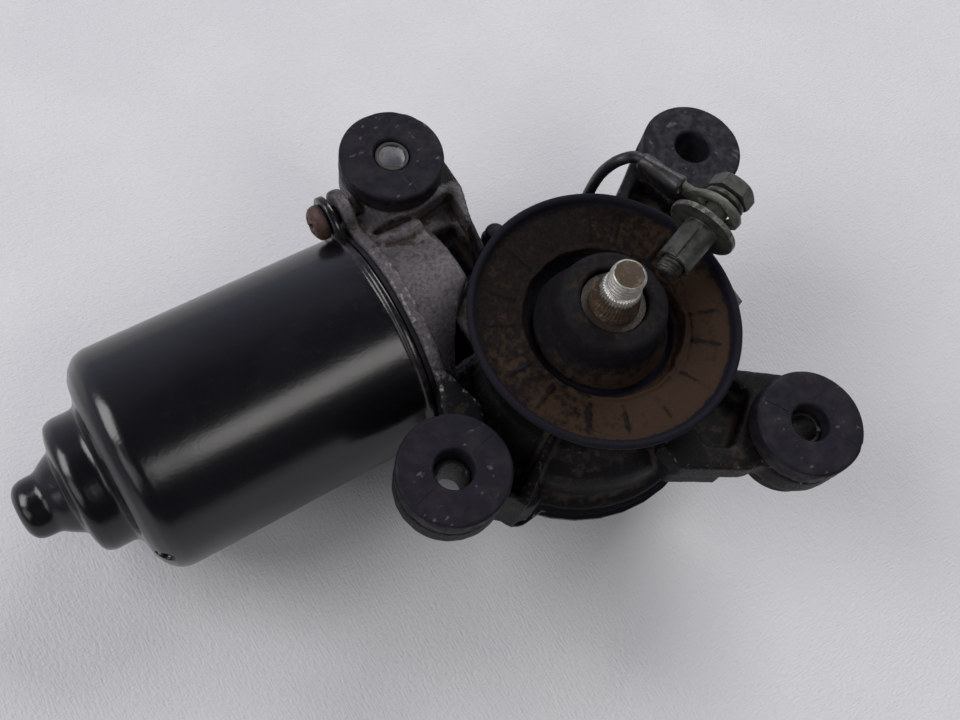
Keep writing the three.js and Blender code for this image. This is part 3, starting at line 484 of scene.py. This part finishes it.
# ---- earth wire: the cord, and the pieces on it ----
def smooth_route(points, per_span=8):
    """Points along a Catmull-Rom curve through these ones."""
    p = [points[0]] + list(points) + [points[-1]]
    made = []
    for a, b, c, d in zip(p, p[1:], p[2:], p[3:]):
        for k in range(per_span):
            t = k / per_span
            made.append(0.5 * (2 * b + (c - a) * t + (2 * a - 5 * b + 4 * c - d) * t**2
                               + (3 * b - a - 3 * c + d) * t**3))
    return made + [points[-1]]


def tube(name, route, radius, sides=20, shape=None):
    """A closed tube along a route in millimetres. shape(share, angle) scales its radius."""
    last = len(route) - 1
    tangents = [(route[min(i + 1, last)] - route[max(i - 1, 0)]).normalized() for i in range(last + 1)]
    across = tangents[0].orthogonal().normalized()
    points = []
    for i, (centre, tangent) in enumerate(zip(route, tangents)):
        across = (across - tangent * across.dot(tangent)).normalized()
        other = tangent.cross(across)
        for j in range(sides):
            angle = TAU * j / sides
            r = radius * (shape(i / last, angle) if shape else 1)
            points.append(centre + (across * math.cos(angle) + other * math.sin(angle)) * r)
    faces = grid_faces(len(route), sides, False, True)
    faces += [tuple(range(sides)), tuple(len(points) - sides + k for k in range(sides))]
    return mesh_of(name, points, faces)


def along_tab(distance):
    return RING_CENTRE + TAB_AXIS * distance


def make_wire():
    """The route of the CAD's ground_wire, from the gland to the terminal's crimp."""
    low = [(*GLAND_XY, 26.6), (*GLAND_XY, 28.5), (21.6, 34.8, 33), (21.5, 34.3, 39), (21.5, 33.5, 44.5),
           (22.2, 32.3, 49.4), (23.9, 31, 52.6)]
    knots = [Vector(p) for p in low] + [along_tab(23.6), along_tab(18), along_tab(14)]
    route = smooth_route(knots, 5)
    wire = tube("earth_wire", route, WIRE_R, 24)
    return wire, route


def make_sheath():
    """Shrunk insulation over the crimp, flattened and pinched."""
    route = [along_tab(CRIMP[0] + (CRIMP[1] - CRIMP[0]) * k / 40) for k in range(41)]

    def squeeze(share, angle):
        pinch = 1 + 0.05 * math.sin(9 * share + 1.3) + 0.015 * math.sin(21 * share)
        end = 1 - 0.22 * max(0, 1 - share / 0.06) ** 2 - 0.16 * max(0, (share - 0.94) / 0.06) ** 2
        ridge = 1 + 0.05 * math.cos(3 * angle + 5 * share) + 0.015 * math.cos(7 * angle - 5 * share)
        return pinch * end * ridge

    piece = tube("crimp_sheath", route, 2.7 / 1.2, 40, squeeze)
    paint(piece, "dirt", 0.35 + 0.5 * noise(points_of(piece.data), 3, 5))
    return piece


def make_terminal():
    """The earth ring: a stamped plate with rolled edges, worn bright round the bolt."""
    piece = with_modifiers("earth_terminal", NODES["ring_terminal"],
                           ("BEVEL", {"width": 0.22 * MM, "segments": 3, "limit_method": "ANGLE",
                                      "angle_limit": math.radians(35)}))
    points = points_of(piece.data)
    off = points - np.array(RING_CENTRE)
    distance = np.linalg.norm(off, axis=1)
    paint(piece, "wear", 0.75 * smoothstep(distance, 6.6, 4.5))
    paint(piece, "dirt", 0.2 + 0.5 * smoothstep(distance, 6, 9) + 0.2 * noise(points, 2, 3))
    return piece


# ---- earth bolt ----
def hexagon(angle, across_flats):
    turn = np.mod(angle, TAU / 6) - TAU / 12
    return across_flats / 2 / np.cos(turn)


def make_bolt():
    """A hexagon-head screw with its thread cut along the shank."""
    pitch, depth = 1.0, 0.32

    def shape(r, z, angle):
        phase = np.mod(z / pitch - angle / TAU, 1)
        groove = depth * (1 - np.abs(2 * phase - 1) ** 0.8)
        on_shank = (z < 18) & (r > 2)
        lead = smoothstep(z, -0.2, 1.2) * smoothstep(z, 18, 16.5)
        cut = np.where(on_shank, groove * lead, 0)
        on_head = (z > 24.9) & (r > 3.2)
        chamfer = 5.77 - 1.9 * np.clip(z - 28.2, 0, 1) - 0.6 * np.clip(25.5 - z, 0, 1)
        head = np.minimum(hexagon(angle, 10), chamfer)
        return np.where(on_head, head * r / 5.77, r - cut), z

    profile = [(0, 0), (2.0, 0), (2.95, 0.9), (2.95, 25), (5.77, 25), (5.77, 29), (0, 29)]
    piece = turned("earth_bolt", profile, 120, BOLT, fillet=0.12, longest=0.12, shape=shape)
    local = local_points(piece, BOLT)
    paint(piece, "dirt", 0.35 * smoothstep(local[:, 2], 22, 0) + 0.25 * noise(local, 2.4, 2) + 0.12)
    paint(piece, "wear", 0.12 * smoothstep(local[:, 2], 26, 29) + 0.2 * noise(local, 2, 9))
    return piece


def local_points(piece, place):
    """Vertex positions in millimetres, seen from a place's own axes."""
    points = points_of(piece.data)
    back = np.array(place.inverted())
    return points @ back[:3, :3].T + back[:3, 3]


def make_collar():
    """A sleeve rolled from strip, with an open seam, and its flange disc."""
    seam_at = math.radians(-2.2)

    def shape(r, z, angle):
        off = np.abs(np.mod(angle - seam_at - math.pi / 2 + math.pi, TAU) - math.pi) * r
        groove = 0.45 * (1 - smoothstep(off, 0.12, 0.3)) * smoothstep(z, 13.4, 12.8) * (r > 3.8)
        wobble = 0.05 * np.sin(3 * angle + 0.4) * (z > 14) + 0.03 * np.sin(2 * angle)
        return r - groove + wobble, z + 0.06 * np.sin(2 * angle + 1) * (r > 5)

    profile = [(3.25, 3.6), (4.25, 3.6), (4.25, 14.4), (8.8, 14.4), (8.8, 15.8), (3.25, 15.8)]
    piece = turned("bolt_collar_sleeve", profile, 240, BOLT, True, 0.28, 0.6, shape)
    local = local_points(piece, BOLT)
    r = np.hypot(local[:, 0], local[:, 1])
    wear = 0.5 * smoothstep(r, 8.3, 8.7) + 0.4 * smoothstep(local[:, 2], 4.0, 3.6)
    paint(piece, "wear", wear + 0.15 * noise(local, 1.6, 4))
    root = smoothstep(r, 6, 4.3) * (local[:, 2] > 13.5)
    paint(piece, "dirt", 0.2 + 0.3 * root + 0.25 * noise(local, 2.5, 8))
    return piece


def make_spring_washer():
    """A split ring, its two ends a little apart."""
    turns, sides = 120, 12
    points = []
    for i in range(turns + 1):
        angle = math.radians(8) + (TAU - math.radians(14)) * i / turns
        lift = 0.5 * (i / turns - 0.5)
        for j in range(sides):
            corner = TAU * j / sides
            wide = math.copysign(abs(math.cos(corner)) ** 0.5, math.cos(corner))
            high = math.copysign(abs(math.sin(corner)) ** 0.5, math.sin(corner))
            r = 4.275 + 0.98 * wide
            points.append((r * math.cos(angle), r * math.sin(angle), 23.65 + lift + 0.62 * high))
    faces = grid_faces(turns + 1, sides, False, True)
    faces += [tuple(range(sides)), tuple(len(points) - sides + k for k in range(sides))]
    piece = mesh_of("earth_spring_washer", points, faces, BOLT)
    paint(piece, "dirt", 0.3 + 0.2 * noise(points_of(piece.data), 2, 6))
    return piece


# ---- castings and the can ----
def make_casting():
    """The gear housing as cast: rounded edges, a sandy skin, dirt in its corners, soot and painted shade away
    from the neck and low down, and painted shade in the pocket by the rear leg.
    """
    piece = with_modifiers("gear_housing_casting", NODES["gear_housing"],
                           ("REMESH", {"mode": "VOXEL", "voxel_size": 0.62 * MM}),
                           ("SMOOTH", {"factor": 0.5, "iterations": 7}))
    push(piece, lambda p: 0.08 + 0.05 * noise(p, 3.5, 11) + 0.03 * noise(p, 1.3, 12))
    points = points_of(piece.data)
    bend = curvature(piece.data, 2)
    x, y, z = points.T
    motor_r = np.hypot(y - MOTOR_Y, z - MOTOR_Z)
    neck = smoothstep(x, -12, -24) * smoothstep(y, 4, 16)
    rear_leg = smoothstep(y, 38, 46) * smoothstep(x, -2, -12)
    clean_share = np.maximum(neck, rear_leg) * smoothstep(z, 2, 12)
    # The pocket by the rear leg is painted dark: painted shade in the recess.
    pocket_shade = smoothstep(motor_r, 30, 32) * smoothstep(x, -24, -20)
    pocket_shade *= smoothstep(y, 36, 40) * smoothstep(z, 36, 34)
    # Darker tone away from the neck and the upper rear leg and low down: soot, with painted shade on the
    # lower and front parts.
    paint(piece, "dark_tone", 1 - clean_share + 0.9 * pocket_shade + 0.1 * noise(points, 9, 3))
    edges = smoothstep(bend, 0.012, 0.04)
    top = smoothstep(z, 16, 26)
    near_rib = smoothstep(x, -16, -22) * smoothstep(y, 14, 10) * smoothstep(y, -12, -8)
    grey = 0.3 + 0.5 * clean_share * (1 - rear_leg) + 0.35 * near_rib
    paint(piece, "wear", edges * grey * (0.2 + 0.4 * top * (0.5 + 0.5 * noise(points, 7, 7))))
    paint(piece, "dirt", 0.55 * smoothstep(bend, -0.004, -0.03) + 0.16 + 0.4 * rough_noise(points, 8, 4))
    return piece


def refined_plate(name, node, width):
    return with_modifiers(name, NODES[node],
                          ("BEVEL", {"width": width * MM, "segments": 3, "limit_method": "ANGLE",
                                     "angle_limit": math.radians(40)}))


def make_can():
    """The deep-drawn motor can with its rolled shoulder, end cap step, flange lugs and drain slot."""
    outer = [(0, -136.6), (5, -136.6), (6.8, -135.4), (7.5, -133.6), (7.6, -130.2), (9.2, -128),
             (10.8, -125.2), (14.4, -124.4), (16.4, -123.6), (17.3, -121.6), (17.3, -117), (17.7, -115.8),
             (19.4, -115), (23.4, -114.3), (26.2, -112.8), (28.2, -110.6), (29, -108.3), (29, -43.8),
             (29.9, -43.0), (29.9, -41.6)]
    inner = [(27.2, -41.6), (27.2, -107.7), (25.2, -111.2), (22.4, -112.8), (15.6, -113.4), (15.4, -121.6),
             (13.8, -122.8), (7.3, -123.2), (7.3, -129), (5.6, -129.8), (5.6, -134.6), (0, -135.2)]

    def shape(r, z, angle):
        body = smoothstep(z, -107, -104) * smoothstep(z, -46, -50)
        return r + 0.05 * body * np.sin(2 * angle + 0.6), z

    shell = turned("motor_can", outer + inner, 256, MOTOR, fillet=0.9, longest=2.5, shape=shape)
    for angle in SCREW_ANGLES.values():
        join_lug(shell, math.radians(angle))
    cutter = drain_cutter()
    piece = with_modifiers("motor_can_shell", shell,
                           ("BOOLEAN", {"object": cutter, "operation": "DIFFERENCE", "solver": "EXACT"}))
    bpy.data.objects.remove(cutter)
    bpy.data.objects.remove(shell)
    points = points_of(piece.data)
    paint(piece, "dirt", 0.4 * smoothstep(points[:, 0], -46, -43) + 0.1 * noise(points, 8, 2))
    return piece


def join_lug(shell, angle):
    """Adds a flange ear, where a through screw holds the can to the casting."""
    across = np.array([-math.sin(angle), math.cos(angle)])
    out = np.array([math.cos(angle), math.sin(angle)])
    outline = []
    for k in range(25):
        turn = -1.45 + 2.9 * k / 24
        outline.append(out * (SCREW_CIRCLE_R + 5.9 * math.cos(turn)) + across * 5.9 * math.sin(turn))
    outline.append(out * 27.6 + across * 9.2)
    outline.append(out * 27.6 - across * 9.2)
    points = []
    for x, inset in ((-43.3, 0.25), (-43.1, 0.0), (-41.8, 0.0), (-41.6, 0.15)):
        middle = out * 30
        for p in outline:
            q = p + (middle - p) / np.linalg.norm(middle - p) * inset
            points.append((x, MOTOR_Y + q[0], MOTOR_Z + q[1]))
    count = len(outline)
    faces = grid_faces(4, count, False, True)
    faces += [tuple(range(count)), tuple(3 * count + k for k in range(count))]
    lug = mesh_of("lug", points, faces)
    join(shell, lug)


def join(keeper, other):
    """Moves another object's mesh into this one."""
    work = bmesh.new()
    work.from_mesh(keeper.data)
    work.from_mesh(other.data)
    work.to_mesh(keeper.data)
    work.free()
    bpy.data.objects.remove(other)


def drain_cutter():
    """An oblong cutter for the drain slot in the can's shoulder."""
    turn = 0.945 * math.pi
    out = Vector((0, math.cos(turn), math.sin(turn)))
    across = Vector((0, -math.sin(turn), math.cos(turn)))
    centre = Vector((-112.1, MOTOR_Y, MOTOR_Z))
    half_long, half_wide = 2.1, 1.7
    points = []
    for depth in (20.5, 32):
        for k in range(24):
            a = TAU * k / 24
            oval = across * half_long * math.cos(a) + Vector((half_wide * math.sin(a), 0, 0))
            points.append(centre + out * depth + oval)
    faces = grid_faces(2, 24, False, True) + [tuple(range(24)), tuple(24 + k for k in range(24))]
    return mesh_of("drain_cutter", points, faces)


def make_pan_screw(name, angle):
    """A rusty dome-headed cross-recess screw in a can lug."""
    a = math.radians(angle)
    y, z = MOTOR_Y + SCREW_CIRCLE_R * math.cos(a), MOTOR_Z + SCREW_CIRCLE_R * math.sin(a)
    place = axes((YOKE_MOUTH_X, y, z), (0, 1, 0), (0, 0, -1), (-1, 0, 0))

    def shape(r, z, angle):
        x, y = r * np.cos(angle + 0.5), r * np.sin(angle + 0.5)
        arm = np.minimum(np.abs(x), np.abs(y))
        reach = np.maximum(np.abs(x), np.abs(y))
        recess = 1.5 * (1 - smoothstep(arm, 0.35, 0.65)) * (1 - smoothstep(reach, 1.9, 2.4)) * (z > 3.5)
        return r, z - recess + 0.05 * np.sin(5 * angle) * (z > 2)

    profile = [(0, -6.4), (1.9, -6.4), (1.9, 2.0), (4.5, 2.0), (4.5, 3.4), (4.1, 4.5), (3.1, 5.2),
               (1.7, 5.6), (0, 5.7)]
    piece = turned(name, profile, 120, place, fillet=0.25, longest=0.22, shape=shape)
    push(piece, lambda p: 0.04 * noise(p, 1.2, 3))
    local = local_points(piece, place)
    paint(piece, "dirt", 0.5 * smoothstep(local[:, 2], 3.4, 2.2) + 0.25 * noise(local, 1.6, 2) + 0.1)
    paint(piece, "wear", 0.5 * smoothstep(local[:, 2], 4.6, 5.6) + 0.2 * noise(local, 1.1, 5))
    return piece


# ---- rubber ----
def make_seal():
    """The dished splash seal: rolled rim, low radial ribs, dust in the dish, painted lighter towards its -Y
    side, and a ragged inner lip.
    """
    ribs, rib_gap = 16, TAU / 16
    rng = np.random.default_rng(4)
    rib_off = rng.uniform(-0.06, 0.06, ribs)
    rib_size = rng.uniform(0.45, 1.0, ribs)

    def rib_share(r, angle):
        index = np.round(angle / rib_gap).astype(int) % ribs
        off = np.mod(angle - index * rib_gap - rib_off[index] + math.pi, TAU) - math.pi
        across = np.exp(-((off * r / 0.55) ** 2))
        return across * rib_size[index] * smoothstep(r, 20.8, 22.2) * smoothstep(r, 30, 27.5)

    def shape(r, z, angle):
        p = np.stack([r * np.cos(angle), r * np.sin(angle), z], -1)
        upper = (z > 41.2) & (r > 20) & (r < 31.4)
        lifted = z + 0.5 * rib_share(r, angle) * upper + 0.14 * rough_noise(p, 5, 2) * upper
        torn = np.exp(-((np.mod(angle + 0.75 + math.pi, TAU) - math.pi) / 0.75) ** 2)
        lip = smoothstep(r, 22.5, 20.2) * (z > 39.4) * (r > 18.4)
        ragged = lip * (0.25 * noise(p, 2.0, 5) + torn * (0.9 + 0.7 * noise(p, 2.6, 6)))
        return r + ragged + 0.07 * noise(p, 9, 8), lifted - 0.5 * torn * lip

    profile = [(11.8, 31.4), (13.4, 31), (16, 31.8), (20.4, 35), (30.8, 41.2), (33.2, 44.4), (33.2, 45.6),
               (32.3, 46.2), (31.4, 45.6), (30.9, 43.7), (20.8, 41.7), (19.6, 42.5), (18.5, 39.6),
               (17.2, 37.5), (11.8, 37)]
    piece = turned("splash_seal_dish", profile, 720, UPRIGHT, True, 0.7, 0.5, shape)
    points = points_of(piece.data)
    x, y, z = points.T
    r, angle = np.hypot(x, y), np.arctan2(y, x)
    dish = smoothstep(r, 31.2, 30.2) * (z > 35.5) * smoothstep(r, 17.5, 19.5) * (z > 0.29 * (r - 20.4) + 37)
    toward_minus_y = 0.5 + 0.5 * np.cos(angle + 1.2)
    rib = rib_share(r, np.mod(angle, TAU))
    bare = rib * (0.65 + 0.35 * noise(points, 3, 4))
    # The dish is painted a lighter brown towards its -Y side, on top of dust patches; the ribs stay darker.
    paint(piece, "dirt", dish * (0.05 + 0.9 * toward_minus_y + 0.35 * rough_noise(points, 6, 1)) - 1.4 * bare * dish)
    paint(piece, "wear", 0.7 * bare * dish + 0.9 * (1 - dish))
    return piece


def make_boot():
    """The moulded shaft boot: a soft cone with a flat top and a thick foot."""
    def shape(r, z, angle):
        p = np.stack([r * np.cos(angle), r * np.sin(angle), z], -1)
        return r + 0.1 * noise(p, 6, 1), z + 0.06 * noise(p, 5, 2)

    profile = [(9.7, 38.5), (16.2, 38.3), (16.7, 39.3), (15.9, 41.6), (14.3, 46), (13.3, 50.6), (12.7, 52.5),
               (11.7, 53.2), (8.6, 53.2), (7.95, 52.7), (7.95, 50.7), (9.7, 50.6)]
    piece = turned("shaft_boot_moulding", profile, 192, UPRIGHT, True, 0.6, 0.6, shape)
    points = points_of(piece.data)
    x, y, z = points.T
    angle = np.arctan2(y, x)
    front = 0.5 + 0.5 * np.cos(angle + 1.1)
    low = smoothstep(z, 49, 41)
    top = smoothstep(z, 52.4, 53) * smoothstep(np.hypot(x, y), 12, 9)
    paint(piece, "dirt", low * front * 0.8 + 0.25 * top + 0.03 + 0.15 * rough_noise(points, 4, 3))
    return piece


def make_grommet(name, centre, line_angle, seed):
    """A rubber mount: two discs on a waist, with a mould line across its face and small nicks."""
    place = Matrix.Translation(Vector((*centre, 0)))

    def shape(r, z, angle):
        p = np.stack([r * np.cos(angle) + 40 * seed, r * np.sin(angle), z], -1)
        top = smoothstep(z, 39, 40)
        nick = 0.35 * np.clip(noise(p, 2.2, seed) - 0.45, 0, 1) * (r > 11.5)
        lift = (0.06 * noise(p, 6, seed + 5) - 0.05) * top
        return r + 0.09 * noise(p, 7, seed + 3) * (r > 5) - nick, z + lift

    profile = [(4.6, 20.5), (11, 20.5), (11.8, 21.3), (11.8, 26), (8.6, 26), (8.6, 34), (12.8, 34),
               (13.25, 34.6), (13.25, 39.9), (12.7, 40.4), (5.1, 40.4), (4.6, 39.9)]
    piece = turned(name, profile, 220, place, True, 0.35, 0.7, shape)
    if line_angle is not None:
        for side in (0, math.pi):
            join(piece, mould_ridge(centre, math.radians(line_angle) + side))
    points = points_of(piece.data)
    local = points - np.array([*centre, 0])
    x, y, z = local.T
    r = np.hypot(x, y)
    streaks = noise(local * np.array([1, 2.5, 1]) + 60 * seed, 2.4, seed)
    scuffs = smoothstep(streaks, 0.55, 0.8) * smoothstep(z, 40, 40.4)
    paint(piece, "wear", 0.6 * scuffs + 0.12 * smoothstep(r, 12.9, 13.2) * (z > 39))
    side = smoothstep(z, 39.5, 35) * (r > 8)
    paint(piece, "dirt", 0.55 * side + 0.08 + 0.15 * rough_noise(local + 30 * seed, 5, seed))
    return piece


def mould_ridge(centre, angle):
    """The thin flash line on a grommet's face, from the bore to the rim."""
    out = Vector((math.cos(angle), math.sin(angle), 0))
    across = Vector((-math.sin(angle), math.cos(angle), 0))
    points, sides = [], 8
    for i in range(25):
        share = i / 24
        reach = 5.6 + 6.8 * share
        size = 0.16 * min(1, 8 * share + 0.1, 8 * (1 - share) + 0.1)
        bend = 0.1 * math.sin(4 * share + angle)
        middle = Vector((*centre, 40.36)) + out * reach + across * bend
        for j in range(sides):
            a = TAU * j / sides
            points.append(middle + across * size * math.cos(a) + Vector((0, 0, 0.55 * size * math.sin(a))))
    faces = grid_faces(25, sides, False, True)
    faces += [tuple(range(sides)), tuple(24 * sides + k for k in range(sides))]
    return mesh_of("ridge", points, faces)


def make_sleeve(name, centre, top):
    """The rolled steel spacer inside a grommet. Where it sits deep in its hole it is painted dark as painted
    shade, with a faint painted glint on its rim.
    """
    place = Matrix.Translation(Vector((*centre, 0)))
    profile = [(3.3, 20.9), (4.3, 20.9), (4.3, top), (3.3, top)]
    piece = turned(name, profile, 96, place, True, 0.25, 1.5)
    points = points_of(piece.data)
    z = points[:, 2]
    rim = smoothstep(z, top - 0.5, top - 0.1)
    deep = smoothstep(top, 38, 36)
    # Sleeves sunk deep in their holes are painted dark all over as painted shade; the rear sleeve gets dirt
    # on its rim only.
    paint(piece, "dirt", 0.9 * rim * (1 - deep) + deep + 0.3 * noise(points, 2, 1))
    # A faint painted glint on the rim of the sunk sleeves.
    paint(piece, "wear", 0.3 * rim * deep * (0.5 + 0.5 * noise(points, 3, 2)))
    return piece


# ---- output shaft ----
def make_shaft():
    """The output stud: plain journal, knurled taper, thread and a worn end face."""
    pitch, teeth = 1.25, 40

    def shape(r, z, angle):
        phase = np.mod(z / pitch - angle / TAU, 1)
        groove = 0.5 * (1 - np.abs(2 * phase - 1) ** 0.75)
        lead = smoothstep(z, 60.2, 60.9) * smoothstep(z, 65.6, 64.8)
        on_thread = (z > 59.9) & (r > 3.4)
        knurl = (0.5 + 0.5 * np.cos(teeth * angle)) ** 0.8 * 0.26
        on_taper = (z > 53.2) & (z <= 59.95) & (r > 4.2)
        fade = smoothstep(z, 53.4, 54.4)
        return r - np.where(on_thread, groove * lead, 0) - np.where(on_taper, knurl * fade, 0), z

    profile = [(0, 6.2), (6, 6.2), (6, 50.7), (5.5, 50.8), (5.5, 52), (6, 52.1), (6, 53), (4.55, 59.9),
               (3.7, 60.2), (4.15, 60.9), (4.15, 65.0), (3.5, 65.65), (0, 65.7)]
    piece = turned("output_stud", profile, 256, UPRIGHT, fillet=0.12, longest=0.14, shape=shape)
    points = points_of(piece.data)
    x, y, z = points.T
    r, angle = np.hypot(x, y), np.arctan2(y, x)
    tan_face = smoothstep(z, 65.4, 65.65) * smoothstep(r, 3.7, 3.2)
    brassy = smoothstep(z, 59.4, 57.6)
    paint(piece, "dark_tone", 0.9 * tan_face + 0.85 * brassy)
    paint(piece, "dirt", 0.15 + 0.15 * noise(points, 1.6, 3))
    bright = smoothstep(z, 58.4, 59.4) * smoothstep(z, 60.6, 60.0)
    paint(piece, "wear", 0.7 * bright + 0.3 * smoothstep(z, 60.5, 61) * (1 - tan_face))
    return piece


# ---- small turned parts on the casting ----
def make_cap():
    place = Matrix.Translation(Vector((*CAP_XY, 0)))
    profile = [(0, 19.6), (1.7, 19.6), (1.7, 24.5), (2.6, 24.5), (2.8, 25), (2.8, 26.6), (2.3, 27.5),
               (0, 27.9)]
    return turned("breather_button", profile, 64, place, fillet=0.4, longest=1)


def make_gland():
    place = Matrix.Translation(Vector((*GLAND_XY, 0)))
    profile = [(1.75, 18.5), (2.8, 18.5), (2.8, 24.5), (4.3, 24.5), (4.3, 26), (3, 27.2), (1.75, 27.4)]
    return turned("wire_grommet", profile, 64, place, True, 0.3, 1)


def make_cover():
    """The pressed gearbox cover with softened edges."""
    return refined_plate("gearbox_cover", "gear_cover", 0.25)


# ---- carried-over CAD nodes ----
CARRIED = {
    "rubber": ["cover_gasket", "yoke_seal"],
    "zinc": ["cover_screw_1", "cover_screw_2", "cover_screw_3", "cover_screw_4", "thrust_screw",
             "thrust_locknut"],
    # The upper bush and retaining ring in the boot's hole: grease with painted shade.
    "grease_and_shade": ["upper_bush", "retaining_ring"],
    "bronze": ["lower_bush", "rear_bush", "front_bush", "park_disc", "contact_leaf_1",
               "contact_leaf_2", "contact_leaf_3"],
    "steel": ["armature_shaft", "lamination_core", "thrust_ball", "brush_spring_1",
              "brush_spring_2", "brush_spring_3", "terminal_1", "terminal_2", "terminal_3"],
    "copper": ["armature_windings", "commutator"],
    "ferrite": ["magnet_upper", "magnet_lower"],
    "nylon": ["worm_wheel", "contact_base"],
    "phenolic": ["brush_plate"],
    "carbon": ["brush_1", "brush_2", "brush_3"],
    "plastic": ["connector_socket"],
}


def finish_carried():
    """Procedural materials and softened edges for the CAD nodes that stay."""
    for material, names in CARRIED.items():
        for name in names:
            obj = NODES[name]
            obj.data.materials.clear()
            obj.data.materials.append(MATERIALS[material])
            bevel = obj.modifiers.new("edges", "BEVEL")
            bevel.width = 0.15 * MM
            bevel.segments = 2
            bevel.limit_method = "ANGLE"
            bevel.angle_limit = math.radians(40)


# ---- table and light ----
def make_floor():
    side = 3.0
    corners = [(-side, -side), (side, -side), (side, side), (-side, side)]
    mesh = bpy.data.meshes.new("table")
    mesh.from_pydata([(x, y, FLOOR_Z * MM) for x, y in corners], [], [(0, 1, 2, 3)])
    floor = link("table", mesh)
    p = Paint("table_top")
    weave = p.math("ADD", p.noise(0.55, 2, 0.5, (1, 0.22, 1)), p.noise(0.5, 2, 0.5, (0.3, 1, 1)))
    colour = p.mix(p.range(p.noise(60, 3), 0.4, 0.65), (0.63, 0.63, 0.645), (0.66, 0.66, 0.67))
    p.set(Base_Color=colour, Normal=p.bump(weave, 0.2))
    p.shader.inputs["Roughness"].default_value = 0.62
    p.shader.inputs["Specular IOR Level"].default_value = 0.3
    mesh.materials.append(p.material)


def area_light(name, place, target, size, power, colour=(1, 1, 1)):
    data = bpy.data.lights.new(name, "AREA")
    data.shape = "RECTANGLE"
    data.size, data.size_y = size
    data.energy = power
    data.color = colour
    light = bpy.data.objects.new(name, data)
    bpy.context.collection.objects.link(light)
    light.location = place
    light.rotation_mode = "QUATERNION"
    light.rotation_quaternion = (Vector(target) - Vector(place)).to_track_quat("-Z", "Y")


def make_light():
    """A dim room, brighter low down behind, a soft lamp in front and two large ones behind."""
    world = bpy.data.worlds.new("studio")
    bpy.context.scene.world = world
    world.use_nodes = True
    tree = world.node_tree
    direction = tree.nodes.new("ShaderNodeTexCoord").outputs["Generated"]
    tilt = tree.nodes.new("ShaderNodeVectorMath")
    tilt.operation = "DOT_PRODUCT"
    tree.links.new(direction, tilt.inputs[0])
    tilt.inputs[1].default_value = (0, -0.7, 1)
    glow = tree.nodes.new("ShaderNodeMapRange")
    tree.links.new(tilt.outputs["Value"], glow.inputs["Value"])
    for socket, number in zip(glow.inputs[1:5], (-0.5, 0.7, 0.6, 0.075)):
        socket.default_value = number
    background = tree.nodes["Background"]
    background.inputs[0].default_value = (0.74, 0.76, 0.97, 1)
    tree.links.new(glow.outputs[0], background.inputs[1])
    area_light("front", (0.04, -0.34, 0.52), (-0.05, 0.0, 0.01), (0.3, 0.2), 0.75, (1, 0.985, 0.955))
    area_light("back_left", (-0.95, 0.6, 1.0), (0, 0, 0), (0.9, 0.7), 12)
    area_light("back_right", (0.95, 0.6, 1.0), (0, 0, 0), (0.9, 0.7), 12)
    area_light("left", (-1.2, -0.35, 0.75), (0, 0, 0), (0.8, 0.6), 2.5)


# ---- the build ----
bpy.context.scene.view_settings.view_transform = "Standard"
make_camera()
MATERIALS = make_materials()

wire, wire_route = make_wire()
finish_piece(wire, "sheath", "housing", "ground_wire")
sheath = finish_piece(make_sheath(), "sheath", "housing", "wire_crimp_sleeve")
terminal = finish_piece(make_terminal(), "tin", "housing", "ring_terminal")
bolt = finish_piece(make_bolt(), "zinc", "earth_bolt", "ground_bolt")
washer = finish_piece(make_spring_washer(), "zinc", "earth_bolt", "spring_washer")
collar = finish_piece(make_collar(), "zinc", "collar", "bolt_collar")

finish_piece(make_casting(), "casting", "housing", "gear_housing")
finish_piece(make_cover(), "enamel", "housing", "gear_cover")
finish_piece(make_can(), "enamel", "housing", "motor_yoke")
for where, turn in SCREW_ANGLES.items():
    finish_piece(make_pan_screw(f"can_screw_{where}", turn), "rusty", "housing", f"yoke_screw_{where}")
finish_piece(make_seal(), "seal", "housing", "splash_seal")
finish_piece(make_boot(), "boot", "housing", "shaft_boot")
for number, (where, centre) in enumerate(EYES.items()):
    mount = make_grommet(f"mount_rubber_{where}", centre, MOULD_LINES.get(where), number + 1)
    finish_piece(mount, "rubber", "housing", f"grommet_{where}")
for where, top in SLEEVE_TOPS.items():
    # The near and front sleeves take the dark copy of the sleeve metal, as painted shade.
    metal = "sleeve" if where == "rear" else "sleeve_in_shade"
    sleeve = make_sleeve(f"mount_sleeve_{where}", EYES[where], top)
    finish_piece(sleeve, metal, "housing", f"grommet_sleeve_{where}")
finish_piece(make_shaft(), "stud", "output", "output_shaft")
finish_piece(make_cap(), "rubber", "housing", "breather_cap")
finish_piece(make_gland(), "rubber", "housing", "wire_gland")
finish_carried()

make_floor()
make_light()
